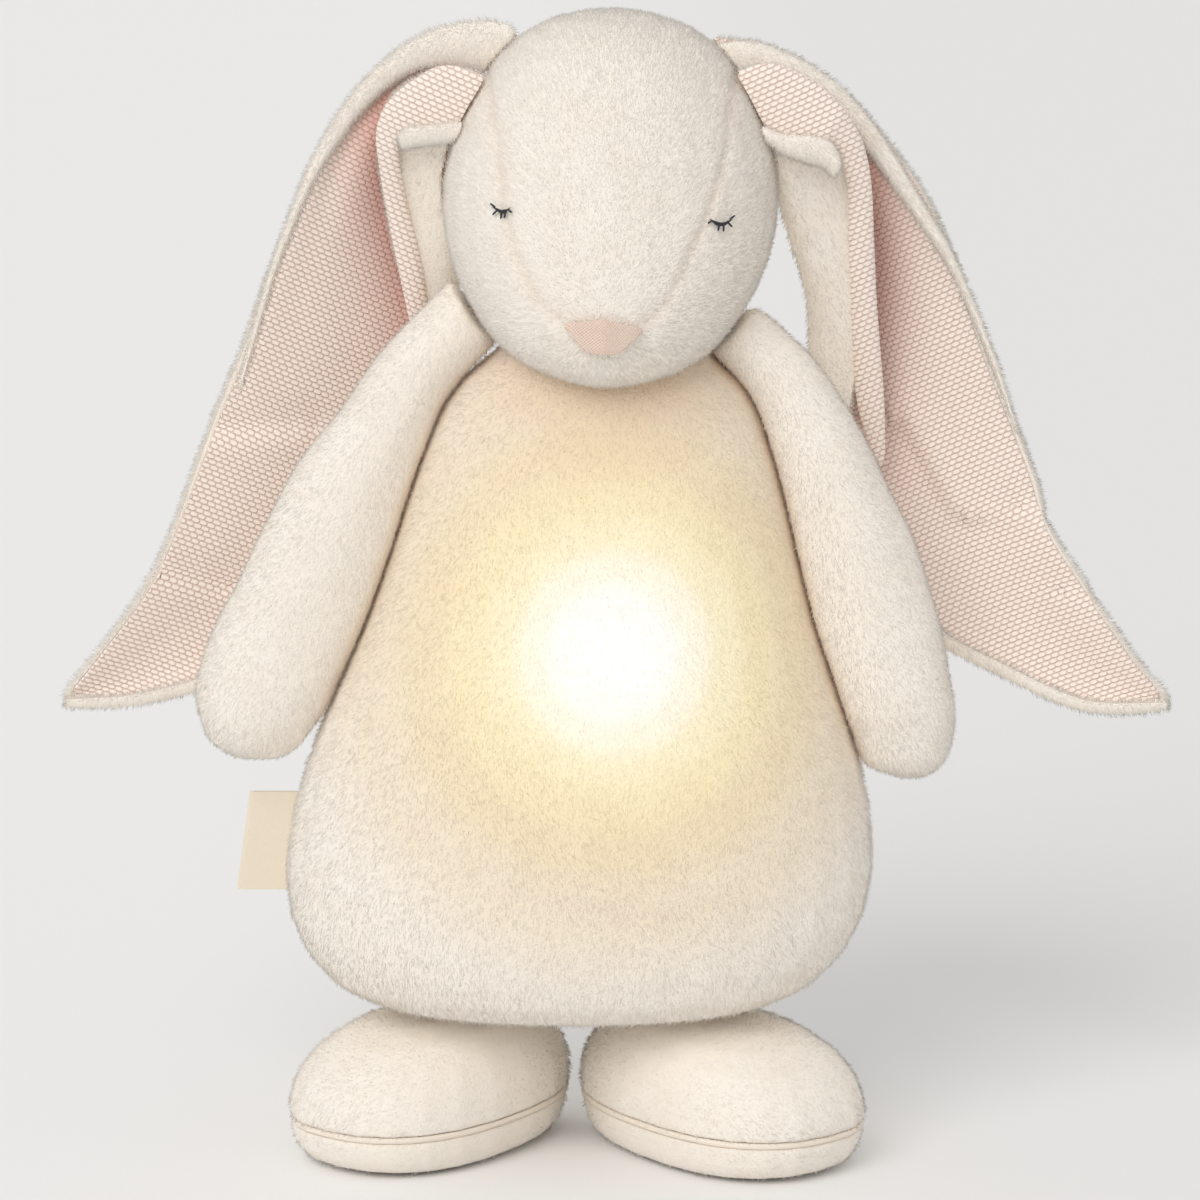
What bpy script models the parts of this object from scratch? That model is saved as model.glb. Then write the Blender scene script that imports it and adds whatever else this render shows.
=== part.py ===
"""A plush rabbit night light that stands on two stuffed feet.

The body, head, arms, ears and feet are sewn and stuffed. A round light module sits in a lined pocket
behind the belly and comes out through an opening in the back. The figure faces -Y, and the floor is z = 0.
"""

import math

import bmesh
import bpy
from mathutils import Matrix, Vector
from mathutils.bvhtree import BVHTree

MM = 0.001

# Gaps between pieces
CLEARANCE = 0.3 * MM
RUNNING_GAP = 0.6 * MM
OVERRUN = 20 * MM

# Where the figure's own axis stands from the middle of its ears and belly
FIGURE_SHIFT_X = -6.75 * MM
FIGURE_SHIFT_Y = 1.0 * MM

# Body
TORSO_WIDTH = 164.4 * MM
TORSO_DEPTH = 100 * MM
TORSO_HEIGHT = 209 * MM
TORSO_AXIS_X = -7.3 * MM
LEAN_SHARE = 0.0466
SECTION_POWER = 2.3
TORSO_ROUND_SIDES = 28
TORSO_RINGS = 22
# Each row is height, half width and half depth, as shares of the torso's own sizes
TORSO_PROFILE_SHARES = (
    (0.0, 0.0, 0.0),
    (0.001, 0.20, 0.22),
    (0.012, 0.345, 0.38),
    (0.045, 0.420, 0.445),
    (0.090, 0.467, 0.48),
    (0.145, 0.494, 0.497),
    (0.215, 0.500, 0.50),
    (0.290, 0.484, 0.495),
    (0.360, 0.460, 0.48),
    (0.430, 0.429, 0.46),
    (0.500, 0.393, 0.436),
    (0.570, 0.364, 0.412),
    (0.640, 0.338, 0.388),
    (0.715, 0.311, 0.360),
    (0.790, 0.278, 0.325),
    (0.835, 0.250, 0.298),
    (0.868, 0.205, 0.262),
    (0.890, 0.166, 0.268),
    (0.935, 0.148, 0.244),
    (0.970, 0.110, 0.180),
    (0.992, 0.055, 0.090),
    (1.0, 0.0, 0.0),
)
NECK_RADIUS = 26 * MM
NECK_DROP = 27 * MM

# Head
HEAD_WIDTH = 92.4 * MM
HEAD_DEPTH = 97 * MM
HEAD_HEIGHT = 101 * MM
HEAD_BASE_Z = 217 * MM
HEAD_CENTRE_X = 2.7 * MM
HEAD_ROLL = math.radians(3)
HEAD_TILT_GAP = 2.6 * MM
HEAD_ROUND_SIDES = 28
HEAD_RINGS = 18
# Each row is height, half width, front and back, as shares of the head's own sizes
HEAD_PROFILE_SHARES = (
    (0.0, 0.0, -0.27, -0.27),
    (0.012, 0.10, -0.36, -0.10),
    (0.045, 0.225, -0.44, 0.06),
    (0.105, 0.325, -0.49, 0.20),
    (0.18, 0.390, -0.517, 0.31),
    (0.27, 0.448, -0.518, 0.39),
    (0.38, 0.488, -0.500, 0.43),
    (0.495, 0.500, -0.470, 0.448),
    (0.625, 0.480, -0.436, 0.446),
    (0.745, 0.430, -0.392, 0.42),
    (0.85, 0.358, -0.325, 0.36),
    (0.93, 0.265, -0.24, 0.268),
    (0.98, 0.148, -0.13, 0.15),
    (1.0, 0.0, 0.0, 0.0),
)

# Face
NOSE_WIDTH = 23 * MM
NOSE_HEIGHT = 10.5 * MM
NOSE_CENTRE_X = 3 * MM
NOSE_CENTRE_Z = 233.7 * MM
NOSE_THICKNESS = 1.4 * MM
NOSE_CORNER_RADIUS = 2.2 * MM
NOSE_CORNER_STEPS = 4
# Corners of the nose, as shares of its width and height about its centre
NOSE_CORNER_SHARES = ((-0.5, 0.33), (0.0, 0.52), (0.5, 0.30), (0.18, -0.42), (-0.18, -0.42))
EYE_WIDTH = 6 * MM
EYE_DROP = 1.3 * MM
EYE_THREAD_RADIUS = 0.4 * MM
EYE_LEFT_X = -23.2 * MM
EYE_LEFT_Z = 266.8 * MM
EYE_RIGHT_X = 33.8 * MM
EYE_RIGHT_Z = 263.6 * MM
LASH_LENGTH = 2.4 * MM
EYE_POINTS = 7
# Where each lash starts along the lid and how far it leans outwards
LASH_SHARES = ((0.35, -0.1), (0.62, 0.35), (0.9, 0.9))

# Arms, from the shoulder down
ARM_LENGTH = 137 * MM
ARM_WIDTH = 35 * MM
ARM_DEPTH = 31 * MM
ARM_CENTRE_Y = -6 * MM
ARM_ROUND_SIDES = 14
ARM_RINGS = 12
SHOULDER_LEFT_X = -33 * MM
SHOULDER_RIGHT_X = 37 * MM
SHOULDER_Z = 230.5 * MM
ARM_PIVOT_UP = 6 * MM
ARM_HEAD_GAP = 4 * MM
# Each row is the centre's place outwards and down, the half width and the half depth, as shares
ARM_LEFT_SHARES = (
    (-0.029, -0.058, 0.0, 0.0),
    (-0.0255, -0.055, 0.20, 0.20),
    (-0.013, -0.035, 0.289, 0.30),
    (0.051, 0.009, 0.285, 0.33),
    (0.136, 0.113, 0.31, 0.38),
    (0.196, 0.2255, 0.376, 0.42),
    (0.257, 0.338, 0.46, 0.46),
    (0.3066, 0.4606, 0.50, 0.48),
    (0.3577, 0.573, 0.515, 0.49),
    (0.403, 0.6657, 0.52, 0.50),
    (0.434, 0.7336, 0.50, 0.48),
    (0.4526, 0.7956, 0.42, 0.41),
    (0.467, 0.843, 0.28, 0.26),
    (0.474, 0.869, 0.0, 0.0),
)
ARM_RIGHT_SHARES = (
    (-0.029, -0.047, 0.0, 0.0),
    (-0.0255, -0.044, 0.18, 0.20),
    (0.005, -0.0036, 0.267, 0.30),
    (0.069, 0.05, 0.281, 0.33),
    (0.117, 0.111, 0.31, 0.37),
    (0.171, 0.2095, 0.357, 0.41),
    (0.2153, 0.325, 0.402, 0.45),
    (0.25, 0.42, 0.45, 0.47),
    (0.28, 0.522, 0.489, 0.49),
    (0.31, 0.624, 0.489, 0.50),
    (0.34, 0.729, 0.46, 0.49),
    (0.36, 0.804, 0.41, 0.42),
    (0.369, 0.877, 0.30, 0.28),
    (0.368, 0.915, 0.0, 0.0),
)

# Ears: a plush back and a knitted lining, folded lengthwise at the root
EAR_LENGTH = 200 * MM
EAR_BACK_THICKNESS = 2.2 * MM
EAR_LINING_THICKNESS = 0.7 * MM
EAR_FOLD_RADIUS = 4 * MM
EAR_CURL_RADIUS = 2.4 * MM
EAR_LAYER_GAP = 0.4 * MM
EAR_FOLD_STEPS = 4
EAR_CUP = 3 * MM
EAR_FOLD_END_SHARES = (0.52, 0.72)
EAR_ROWS = 16
EAR_COLUMNS = 13
EAR_LEFT_ROOT_X = -26 * MM
EAR_LEFT_ROOT_Z = 310.5 * MM
EAR_RIGHT_ROOT_X = 33 * MM
EAR_RIGHT_ROOT_Z = 308.5 * MM
EAR_PIVOT_IN = 8 * MM
EAR_PIVOT_UP = 4 * MM
# Each row is the crease's place outwards and down, the width beside it and the flap's width
EAR_LEFT_SHARES = (
    (0.01, 0.1075, 0.13, 0.05),
    (0.0305, 0.10, 0.12, 0.05),
    (0.0515, 0.104, 0.11, 0.055),
    (0.064, 0.119, 0.12, 0.07),
    (0.0715, 0.1475, 0.14, 0.08),
    (0.08, 0.1925, 0.16, 0.07),
    (0.08, 0.2625, 0.20, 0.06),
    (0.0775, 0.3625, 0.2455, 0.05),
    (0.0925, 0.5225, 0.2725, 0.03),
    (0.155, 0.6825, 0.28, 0.03),
    (0.27, 0.8225, 0.24, 0.03),
    (0.39, 0.9025, 0.185, 0.03),
    (0.50, 0.9325, 0.11, 0.03),
    (0.60, 0.945, 0.03, 0.03),
)
EAR_RIGHT_SHARES = (
    (0.03, 0.0975, 0.13, 0.065),
    (0.0505, 0.09, 0.10, 0.06),
    (0.072, 0.094, 0.09, 0.05),
    (0.088, 0.109, 0.10, 0.06),
    (0.0925, 0.1375, 0.135, 0.085),
    (0.1015, 0.1875, 0.16, 0.095),
    (0.1175, 0.2675, 0.19, 0.095),
    (0.1425, 0.3625, 0.2075, 0.08),
    (0.1525, 0.5275, 0.25, 0.08),
    (0.205, 0.6725, 0.25, 0.05),
    (0.30, 0.82, 0.2325, 0.03),
    (0.415, 0.8875, 0.1825, 0.03),
    (0.525, 0.9325, 0.1175, 0.03),
    (0.635, 0.94, 0.03, 0.03),
)
# How far back the outer edge and the crease lie, row by row, as shares of the length
EAR_BACK_SHARES = (
    (0.03, 0.0),
    (0.035, 0.005),
    (0.04, 0.01),
    (0.045, 0.0175),
    (0.0525, 0.0275),
    (0.06, 0.0475),
    (0.075, 0.075),
    (0.0925, 0.1025),
    (0.105, 0.125),
    (0.11, 0.13),
    (0.1025, 0.125),
    (0.0925, 0.115),
    (0.0825, 0.10),
    (0.075, 0.085),
)

# Feet
FOOT_LENGTH = 94 * MM
FOOT_WIDTH = 59 * MM
FOOT_HEIGHT = 40 * MM
SOLE_HEIGHT = 12 * MM
FOOT_LEFT_X = -43.5 * MM
FOOT_LEFT_Y = 0
FOOT_LEFT_TURN = math.radians(-40)
FOOT_RIGHT_X = 34.4 * MM
FOOT_RIGHT_Y = -6 * MM
FOOT_RIGHT_TURN = math.radians(42)
FOOT_ROUND_SIDES = 22
FOOT_RINGS = 12
TOE_DROP_SHARE = 0.12
TOE_SPREAD_SHARE = 0.14
# Each row is height and size, as shares of the foot's height and outline
FOOT_PROFILE_SHARES = (
    (0.0, 0.0),
    (0.0, 0.40),
    (0.0, 0.80),
    (0.07, 0.905),
    (0.18, 0.965),
    (0.32, 0.99),
    (0.46, 1.0),
    (0.62, 0.965),
    (0.78, 0.865),
    (0.91, 0.68),
    (0.985, 0.42),
    (1.0, 0.0),
)

# Side label, a folded ribbon caught in the seam
LABEL_HEIGHT = 28 * MM
LABEL_WIDTH = 22 * MM
LABEL_THICKNESS = 1.2 * MM
LABEL_OUT = 1 * MM
LABEL_CENTRE_Z = 87 * MM
LABEL_TURN = math.radians(-8)

# Light module, measured forwards from its rear face
MODULE_X = 6 * MM
MODULE_Z = 150 * MM
MODULE_REAR_Y = 12 * MM
MODULE_RADIUS = 38 * MM
MODULE_DEPTH = 44 * MM
HOUSING_WALL = 1.8 * MM
REAR_HOUSING_DEPTH = 22 * MM
SHOULDER_DEPTH = 32 * MM
FRONT_RIM_DEPTH = 37 * MM
FRONT_RIM_RADIUS = 34 * MM
DIFFUSER_WALL = 1.6 * MM
DIFFUSER_RADIUS = 31 * MM
DIFFUSER_FLANGE = 2.4 * MM
DIFFUSER_RINGS = 6
BOARD_RADIUS = 34 * MM
BOARD_THICKNESS = 1.6 * MM
BOARD_DEPTH = 20.7 * MM
LED_SIZE = 3.5 * MM
LED_HEIGHT = 0.9 * MM
LED_PITCH = 12 * MM
REFLECTOR_THROAT_RADIUS = 16 * MM
REFLECTOR_WALL = 1.0 * MM
ROUND_SEGMENTS = 32
SMALL_SEGMENTS = 12

# Batteries and their bay
CELL_DIAMETER = 10.5 * MM
CELL_LENGTH = 43.3 * MM
CELL_TIP_RADIUS = 1.9 * MM
CELL_TIP_LENGTH = 1.2 * MM
CELL_PITCH = 11 * MM
CELL_COUNT = 3
BAY_CENTRE_UP = -4 * MM
BAY_WALL = 2.2 * MM
BAY_SPRING_ROOM = 6.1 * MM
BAY_SIDE_ROOM = 0.9 * MM
BAY_FLOOR_ROOM = 1.5 * MM
CONTACT_THICKNESS = 0.5 * MM
CONTACT_WIDTH = 30 * MM
CONTACT_HEIGHT = 8 * MM
SPRING_RADIUS = 2.6 * MM
SPRING_WIRE = 0.3 * MM
SPRING_TURNS = 3
SPRING_TURN_POINTS = 8
DOOR_THICKNESS = 1.6 * MM
DOOR_OVERLAP = 1.5 * MM
BAY_LENGTH = CELL_LENGTH + CELL_TIP_LENGTH + BAY_SPRING_ROOM
BAY_HEIGHT = CELL_PITCH * (CELL_COUNT - 1) + CELL_DIAMETER + BAY_SIDE_ROOM
BAY_DEPTH = DOOR_THICKNESS + CELL_DIAMETER + BAY_FLOOR_ROOM
DOOR_TAB_RADIUS = 3.6 * MM
DOOR_LIFT = 12 * MM
WIRE_RADIUS = 0.6 * MM
WIRE_SPACING = 6 * MM

# Screws
SCREW_RADIUS = 1.2 * MM
SCREW_HEAD_RADIUS = 2.4 * MM
SCREW_HEAD_HEIGHT = 1.4 * MM
SCREW_BOSS_RADIUS = 3.6 * MM
SCREW_RING_RADIUS = 33 * MM
SCREW_REACH = 5 * MM
SCREW_ANGLES = (math.radians(40), math.radians(140), math.radians(270))
DOOR_SCREW_LENGTH = 9 * MM

# Buttons on the rear face
BUTTON_RADIUS = 4.5 * MM
BUTTON_FLANGE = 1.1 * MM
BUTTON_FLANGE_THICKNESS = 1 * MM
BUTTON_PROUD = 1.2 * MM
BUTTON_STEM_RADIUS = 1.8 * MM
BUTTON_TRAVEL = 1 * MM
BUTTON_SPACING = 18 * MM
BUTTON_UP = 23 * MM
SWITCH_SIZE = 6 * MM
SWITCH_HEIGHT = 3.2 * MM

# Pocket and its closure in the back
LINER_WALL = 0.8 * MM
LINER_BACK = 27 * MM
LINER_TAIL = TORSO_DEPTH / 2 - MODULE_REAR_Y - LINER_BACK
LIP_THICKNESS = 4 * MM
TAPE_THICKNESS = 1.2 * MM
TAPE_WIDTH = 15 * MM
TAPE_LENGTH = 56 * MM
PLACKET_THICKNESS = 1.5 * MM
PLACKET_HEM = 14 * MM

PLUSH = (0.93, 0.88, 0.80)
KNIT = (0.90, 0.72, 0.66)
THREAD = (0.06, 0.06, 0.09)
RIBBON = (0.93, 0.90, 0.80)
WHITE_PLASTIC = (0.92, 0.92, 0.90)
MILKY = (0.96, 0.94, 0.88)
BOARD_GREEN = (0.05, 0.30, 0.14)
LED_YELLOW = (1.0, 0.86, 0.45)
STEEL = (0.66, 0.66, 0.68)
CELL_GREY = (0.30, 0.32, 0.35)
DARK_RUBBER = (0.30, 0.30, 0.32)
WIRE_RED = (0.65, 0.05, 0.04)
WIRE_BLACK = (0.03, 0.03, 0.03)


for old in list(bpy.data.objects):
    bpy.data.objects.remove(old, do_unlink=True)

parts = bpy.data.collections.new("plush_night_light")
cutters = bpy.data.collections.new("cutters")
bpy.context.scene.collection.children.link(parts)
bpy.context.scene.collection.children.link(cutters)
figure = bpy.data.objects.new("figure", None)
figure.location = (FIGURE_SHIFT_X, FIGURE_SHIFT_Y, 0)
parts.objects.link(figure)


def material(name, colour, roughness, metallic=0.0):
    """A Principled material, made once for each name."""
    found = bpy.data.materials.get(name)
    if found:
        return found
    made = bpy.data.materials.new(name)
    made.use_nodes = True
    shader = made.node_tree.nodes["Principled BSDF"]
    shader.inputs["Base Color"].default_value = (*colour, 1.0)
    shader.inputs["Roughness"].default_value = roughness
    shader.inputs["Metallic"].default_value = metallic
    return made


def add_object(name, bm, look, parent=None):
    """Turn a bmesh into a named, smooth-shaded object of the figure."""
    mesh = bpy.data.meshes.new(name)
    bmesh.ops.recalc_face_normals(bm, faces=bm.faces)
    bm.to_mesh(mesh)
    bm.free()
    mesh.shade_smooth()
    mesh.set_sharp_from_angle(angle=math.radians(35))
    obj = bpy.data.objects.new(name, mesh)
    if look:
        mesh.materials.append(look)
        parts.objects.link(obj)
    else:
        cutters.objects.link(obj)
        obj.hide_render = True
        obj.display_type = "WIRE"
    obj.parent = parent or figure
    return obj


def combine(obj, tool, operation="DIFFERENCE"):
    """Cut an object by a tool, or keep what they share, or join them."""
    modifier = obj.modifiers.new(operation.lower() + "_" + tool.name, "BOOLEAN")
    modifier.operation = operation
    modifier.solver = "EXACT"
    modifier.object = tool
    return obj


def add_empty(name, place, turn=(0, 0, 0), parent=None):
    """An empty that carries the pieces of one moving body on its axis."""
    empty = bpy.data.objects.new(name, None)
    empty.location = place
    empty.rotation_euler = turn
    empty.parent = parent or figure
    parts.objects.link(empty)
    return empty


def carry(obj, empty):
    """Hang an object that is modelled in world space on an empty without moving it."""
    obj.parent = empty
    obj.matrix_parent_inverse = Matrix.Translation(-empty.location)
    return obj


def smooth_row(rows, share):
    """Read a table of rows at a share of its length, from a smooth curve through the rows."""
    last = len(rows) - 1
    along = min(max(share, 0.0), 1.0) * last
    index = min(int(along), last - 1)
    t = along - index
    before = rows[max(index - 1, 0)]
    after = rows[min(index + 2, last)]
    values = []
    for a, b, c, d in zip(before, rows[index], rows[index + 1], after):
        slope_in = (c - a) / 2
        slope_out = (d - b) / 2
        value = b + slope_in * t
        value += (3 * (c - b) - 2 * slope_in - slope_out) * t**2
        value += (2 * (b - c) + slope_in + slope_out) * t**3
        values.append(value)
    return values


def round_form(sides, rings, place):
    """A closed form: a sphere whose points are moved to place(share from pole to pole, angle)."""
    bm = bmesh.new()
    bmesh.ops.create_uvsphere(bm, u_segments=sides, v_segments=rings, radius=1)
    for vert in bm.verts:
        share = 1 - math.acos(max(-1.0, min(1.0, vert.co.z))) / math.pi
        vert.co = place(share, math.atan2(vert.co.y, vert.co.x))
    return bm


def rounded_square(angle, power):
    """A point on a unit circle that is drawn out towards a square by the power."""
    across = math.cos(angle)
    along = math.sin(angle)
    return (
        math.copysign(abs(across) ** (2 / power), across),
        math.copysign(abs(along) ** (2 / power), along),
    )


def cylinder(radius, low, high, centre=(0, 0), segments=SMALL_SEGMENTS):
    """An upright cylinder between two heights, as a bmesh."""
    bm = bmesh.new()
    place = Matrix.Translation((centre[0], centre[1], (low + high) / 2))
    bmesh.ops.create_cone(
        bm,
        cap_ends=True,
        segments=segments,
        radius1=radius,
        radius2=radius,
        depth=high - low,
        matrix=place,
    )
    return bm


def box(size, centre):
    """A box about a centre, as a bmesh."""
    bm = bmesh.new()
    place = Matrix.Translation(centre) @ Matrix.Diagonal((*size, 1))
    bmesh.ops.create_cube(bm, size=1, matrix=place)
    return bm


def turned(name, profile, look, parent=None, segments=ROUND_SEGMENTS):
    """A piece turned about Z from a closed profile of radius and height pairs."""
    bm = bmesh.new()
    corners = [bm.verts.new((radius, 0, height)) for radius, height in profile]
    on_axis = profile[0][0] == 0 and profile[-1][0] == 0
    pairs = list(zip(corners, corners[1:]))
    if not on_axis:
        pairs.append((corners[-1], corners[0]))
    for first, second in pairs:
        bm.edges.new((first, second))
    obj = add_object(name, bm, look, parent)
    screw = obj.modifiers.new("turn", "SCREW")
    screw.steps = segments
    screw.render_steps = segments
    screw.use_merge_vertices = True
    screw.merge_threshold = 0.01 * MM
    return obj


# The pear-shaped body


def torso_centre_x(height):
    """The figure leans to one side, so its middle moves with height."""
    return TORSO_AXIS_X + LEAN_SHARE * height


def torso_base():
    return FOOT_HEIGHT + CLEARANCE


def neck_centre():
    height = torso_base() + TORSO_HEIGHT - NECK_DROP
    return Vector((torso_centre_x(height), 0, height))


def torso_form(inset, neck_inset=None):
    """The body's closed form, drawn in by an inset, and its neck by another; a negative inset swells it."""
    neck_radius = NECK_RADIUS - (inset if neck_inset is None else neck_inset)

    def place(share, angle):
        height, half_width, half_depth = smooth_row(TORSO_PROFILE_SHARES, share)
        z = torso_base() + height * TORSO_HEIGHT
        across, along = rounded_square(angle, SECTION_POWER)
        grow = 1 if 0 < share < 1 else 0
        reach_x = max(half_width * TORSO_WIDTH - inset, 0) * grow
        reach_y = max(half_depth * TORSO_DEPTH - inset, 0) * grow
        if share < 0.5:
            z = max(z, torso_base()) + inset * max(0.0, 1 - reach_x / TORSO_WIDTH * 4)
        point = Vector((torso_centre_x(z) + reach_x * across, reach_y * along, z))
        neck = neck_centre()
        reach = point - neck
        if point.z > neck.z and reach.length > 0:
            flat = Vector((reach.x, reach.y, 0)).length
            if flat < NECK_RADIUS or point.z > neck.z + NECK_RADIUS / 3:
                point = neck + reach * (neck_radius / reach.length)
        return point

    return round_form(TORSO_ROUND_SIDES, TORSO_RINGS, place)


def torso_cutter(name, inset):
    return add_object(name, torso_form(inset), None)


def make_torso(plush, pocket):
    torso = add_object("torso", torso_form(0), plush)
    return combine(torso, pocket)


# The pocket and the closure in the back


def pocket_profile(grow):
    """Radius and distance forwards of the module's outline, swollen by a gap, as a closed profile."""
    back = -(TORSO_DEPTH / 2 + OVERRUN)
    return (
        (0, back),
        (MODULE_RADIUS + grow, back),
        (MODULE_RADIUS + grow, SHOULDER_DEPTH + grow / 2),
        (FRONT_RIM_RADIUS + grow, FRONT_RIM_DEPTH + grow / 2),
        (DIFFUSER_RADIUS / 2 + grow, MODULE_DEPTH + grow),
        (0, MODULE_DEPTH + grow),
    )


def sleeve_gap():
    """From the module's side to the pocket's cut wall: a gap, the liner and a gap."""
    return CLEARANCE + LINER_WALL + CLEARANCE


def make_pocket_cutter(seat):
    profile = pocket_profile(sleeve_gap())
    return turned("pocket_cutter", tuple(reversed(profile)), None, seat)


def make_pocket_liner(seat, look):
    outer = pocket_profile(CLEARANCE + LINER_WALL)[2:]
    inner = pocket_profile(CLEARANCE)[2:]
    radius = MODULE_RADIUS + CLEARANCE
    profile = [(0, outer[-1][1])]
    profile += list(reversed(outer[:-1]))
    profile += [(radius + LINER_WALL, -LINER_TAIL), (radius, -LINER_TAIL)]
    profile += list(inner[:-1])
    profile += [(0, inner[-1][1])]
    return turned("pocket_liner", profile, look, seat)


def skin_strip(name, low_inset, high_inset, low_x, high_x, reach, look, cutter_set):
    """A strip of the back's skin between two insets, low_x and high_x, no further than reach from the axis."""
    strip = add_object(name, torso_form(low_inset), look)
    inner = cutter_set(high_inset)
    centre = Vector((MODULE_X, 0, MODULE_Z))
    rod = cylinder(reach, TORSO_DEPTH / 8, TORSO_DEPTH, segments=ROUND_SEGMENTS)
    bmesh.ops.rotate(rod, verts=rod.verts, matrix=Matrix.Rotation(-math.pi / 2, 3, "X"))
    bmesh.ops.translate(rod, verts=rod.verts, vec=centre)
    keep = add_object(name + "_reach", rod, None)
    width = high_x - low_x
    middle = centre + Vector(((low_x + high_x) / 2, TORSO_DEPTH * 0.6, 0))
    band = add_object(name + "_band", box((width, TORSO_DEPTH, TORSO_HEIGHT), middle), None)
    combine(strip, keep, "INTERSECT")
    combine(strip, band, "INTERSECT")
    return combine(strip, inner)


def make_closure(plush, lining, tape):
    """Two lips that meet over the pocket, and a placket behind them with hook and loop tape."""
    made = {}

    def cutter_set(inset):
        if inset not in made:
            made[inset] = torso_cutter("torso_inset_%d" % len(made), inset)
        return made[inset]

    reach = MODULE_RADIUS + sleeve_gap() - CLEARANCE
    half_gap = CLEARANCE / 2
    loop_inset = LIP_THICKNESS + CLEARANCE
    hook_inset = loop_inset + TAPE_THICKNESS + CLEARANCE
    placket_inset = hook_inset + TAPE_THICKNESS + CLEARANCE
    placket_end = placket_inset + PLACKET_THICKNESS
    skin_strip("opening_lip_left", 0, LIP_THICKNESS, -reach, -half_gap, reach, plush, cutter_set)
    skin_strip("opening_lip_right", 0, LIP_THICKNESS, half_gap, reach, reach, plush, cutter_set)
    tape_reach = TAPE_LENGTH / 2
    loop_end = loop_inset + TAPE_THICKNESS
    hook_end = hook_inset + TAPE_THICKNESS
    skin_strip("loop_tape", loop_inset, loop_end, half_gap, TAPE_WIDTH, tape_reach, tape, cutter_set)
    skin_strip("hook_tape", hook_inset, hook_end, half_gap, TAPE_WIDTH, tape_reach, tape, cutter_set)
    placket_reach = tape_reach + CLEARANCE
    name = "opening_placket"
    placket = skin_strip(
        name, loop_inset, placket_end, -PLACKET_HEM, TAPE_WIDTH, placket_reach, lining, cutter_set
    )
    recess = add_object("placket_recess", torso_form(0), None)
    inner = cutter_set(placket_inset)
    combine(recess, inner)
    middle = Vector((MODULE_X + TAPE_WIDTH, TORSO_DEPTH * 0.6, MODULE_Z))
    size = (2 * TAPE_WIDTH + 2 * CLEARANCE, TORSO_DEPTH, TORSO_HEIGHT)
    combine(recess, add_object("placket_recess_band", box(size, middle), None), "INTERSECT")
    combine(placket, recess)


# The head and face


def head_turn():
    """The head leans to one side about the neck."""
    centre = neck_centre()
    turn = Matrix.Rotation(HEAD_ROLL, 4, "Y")
    return Matrix.Translation(centre) @ turn @ Matrix.Translation(-centre)


def head_form(inset):
    """The head's closed form, with the muzzle forwards and low; a negative inset swells it."""
    turn = head_turn()

    def place(share, angle):
        height, half_width, front, back = smooth_row(HEAD_PROFILE_SHARES, share)
        across = math.cos(angle)
        along = math.sin(angle)
        end = 1 if 0 < share < 1 else 0
        middle_y = (front + back) / 2 * HEAD_DEPTH
        reach_x = max(half_width * HEAD_WIDTH - inset, 0) * end
        reach_y = max((back - front) / 2 * HEAD_DEPTH - inset, 0) * end
        lift = inset * math.cos(math.pi * share)
        z = HEAD_BASE_Z + height * HEAD_HEIGHT + lift
        point = Vector((HEAD_CENTRE_X + reach_x * across, middle_y + reach_y * along, z))
        return turn @ point

    return round_form(HEAD_ROUND_SIDES, HEAD_RINGS, place)


def make_head(plush):
    """The head, hollowed below for the neck and cleared over the shoulders so that it can tilt."""
    head = add_object("head", head_form(0), plush)
    return combine(head, add_object("head_cutter", torso_form(-HEAD_TILT_GAP, -RUNNING_GAP), None))


def nose_outline():
    """The nose's corners, each rounded to the corner radius."""
    corners = []
    for across, up in NOSE_CORNER_SHARES:
        corners.append(Vector((across * NOSE_WIDTH, up * NOSE_HEIGHT)))
    outline = []
    count = len(corners)
    for index, corner in enumerate(corners):
        before = corners[index - 1]
        after = corners[(index + 1) % count]
        start = corner + (before - corner).normalized() * NOSE_CORNER_RADIUS
        end = corner + (after - corner).normalized() * NOSE_CORNER_RADIUS
        for step in range(NOSE_CORNER_STEPS + 1):
            t = step / NOSE_CORNER_STEPS
            outline.append(start * (1 - t) ** 2 + corner * 2 * t * (1 - t) + end * t**2)
    return outline


def make_nose(look):
    """A small pad that follows the muzzle."""
    nose = add_object("nose", head_form(-CLEARANCE - NOSE_THICKNESS), look)
    curve = bpy.data.curves.new("nose_outline", "CURVE")
    curve.dimensions = "2D"
    curve.fill_mode = "BOTH"
    curve.extrude = HEAD_DEPTH / 4
    outline = nose_outline()
    spline = curve.splines.new("POLY")
    spline.points.add(len(outline) - 1)
    for point, place in zip(spline.points, outline):
        point.co = (place.x, place.y, 0, 1)
    spline.use_cyclic_u = True
    guide = bpy.data.objects.new("nose_guide", curve)
    cutters.objects.link(guide)
    bpy.context.view_layer.update()
    mesh = bpy.data.meshes.new_from_object(guide.evaluated_get(bpy.context.evaluated_depsgraph_get()))
    bpy.data.objects.remove(guide, do_unlink=True)
    bm = bmesh.new()
    bm.from_mesh(mesh)
    bpy.data.meshes.remove(mesh)
    bmesh.ops.remove_doubles(bm, verts=bm.verts, dist=0.001 * MM)
    outline_prism = add_object("nose_prism", bm, None)
    front = Vector((NOSE_CENTRE_X, -HEAD_DEPTH / 2, NOSE_CENTRE_Z))
    outline_prism.rotation_euler = (math.pi / 2, HEAD_ROLL, 0)
    outline_prism.location = front
    combine(nose, outline_prism, "INTERSECT")
    return combine(nose, add_object("nose_cutter", head_form(-CLEARANCE), None))


def on_head(tree, x, z, lift):
    """The point on the head's front at x and z, lifted off its surface."""
    start = Vector((x, -HEAD_DEPTH, z))
    place, normal, _, _ = tree.ray_cast(start, Vector((0, 1, 0)))
    return place + normal * lift


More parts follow.
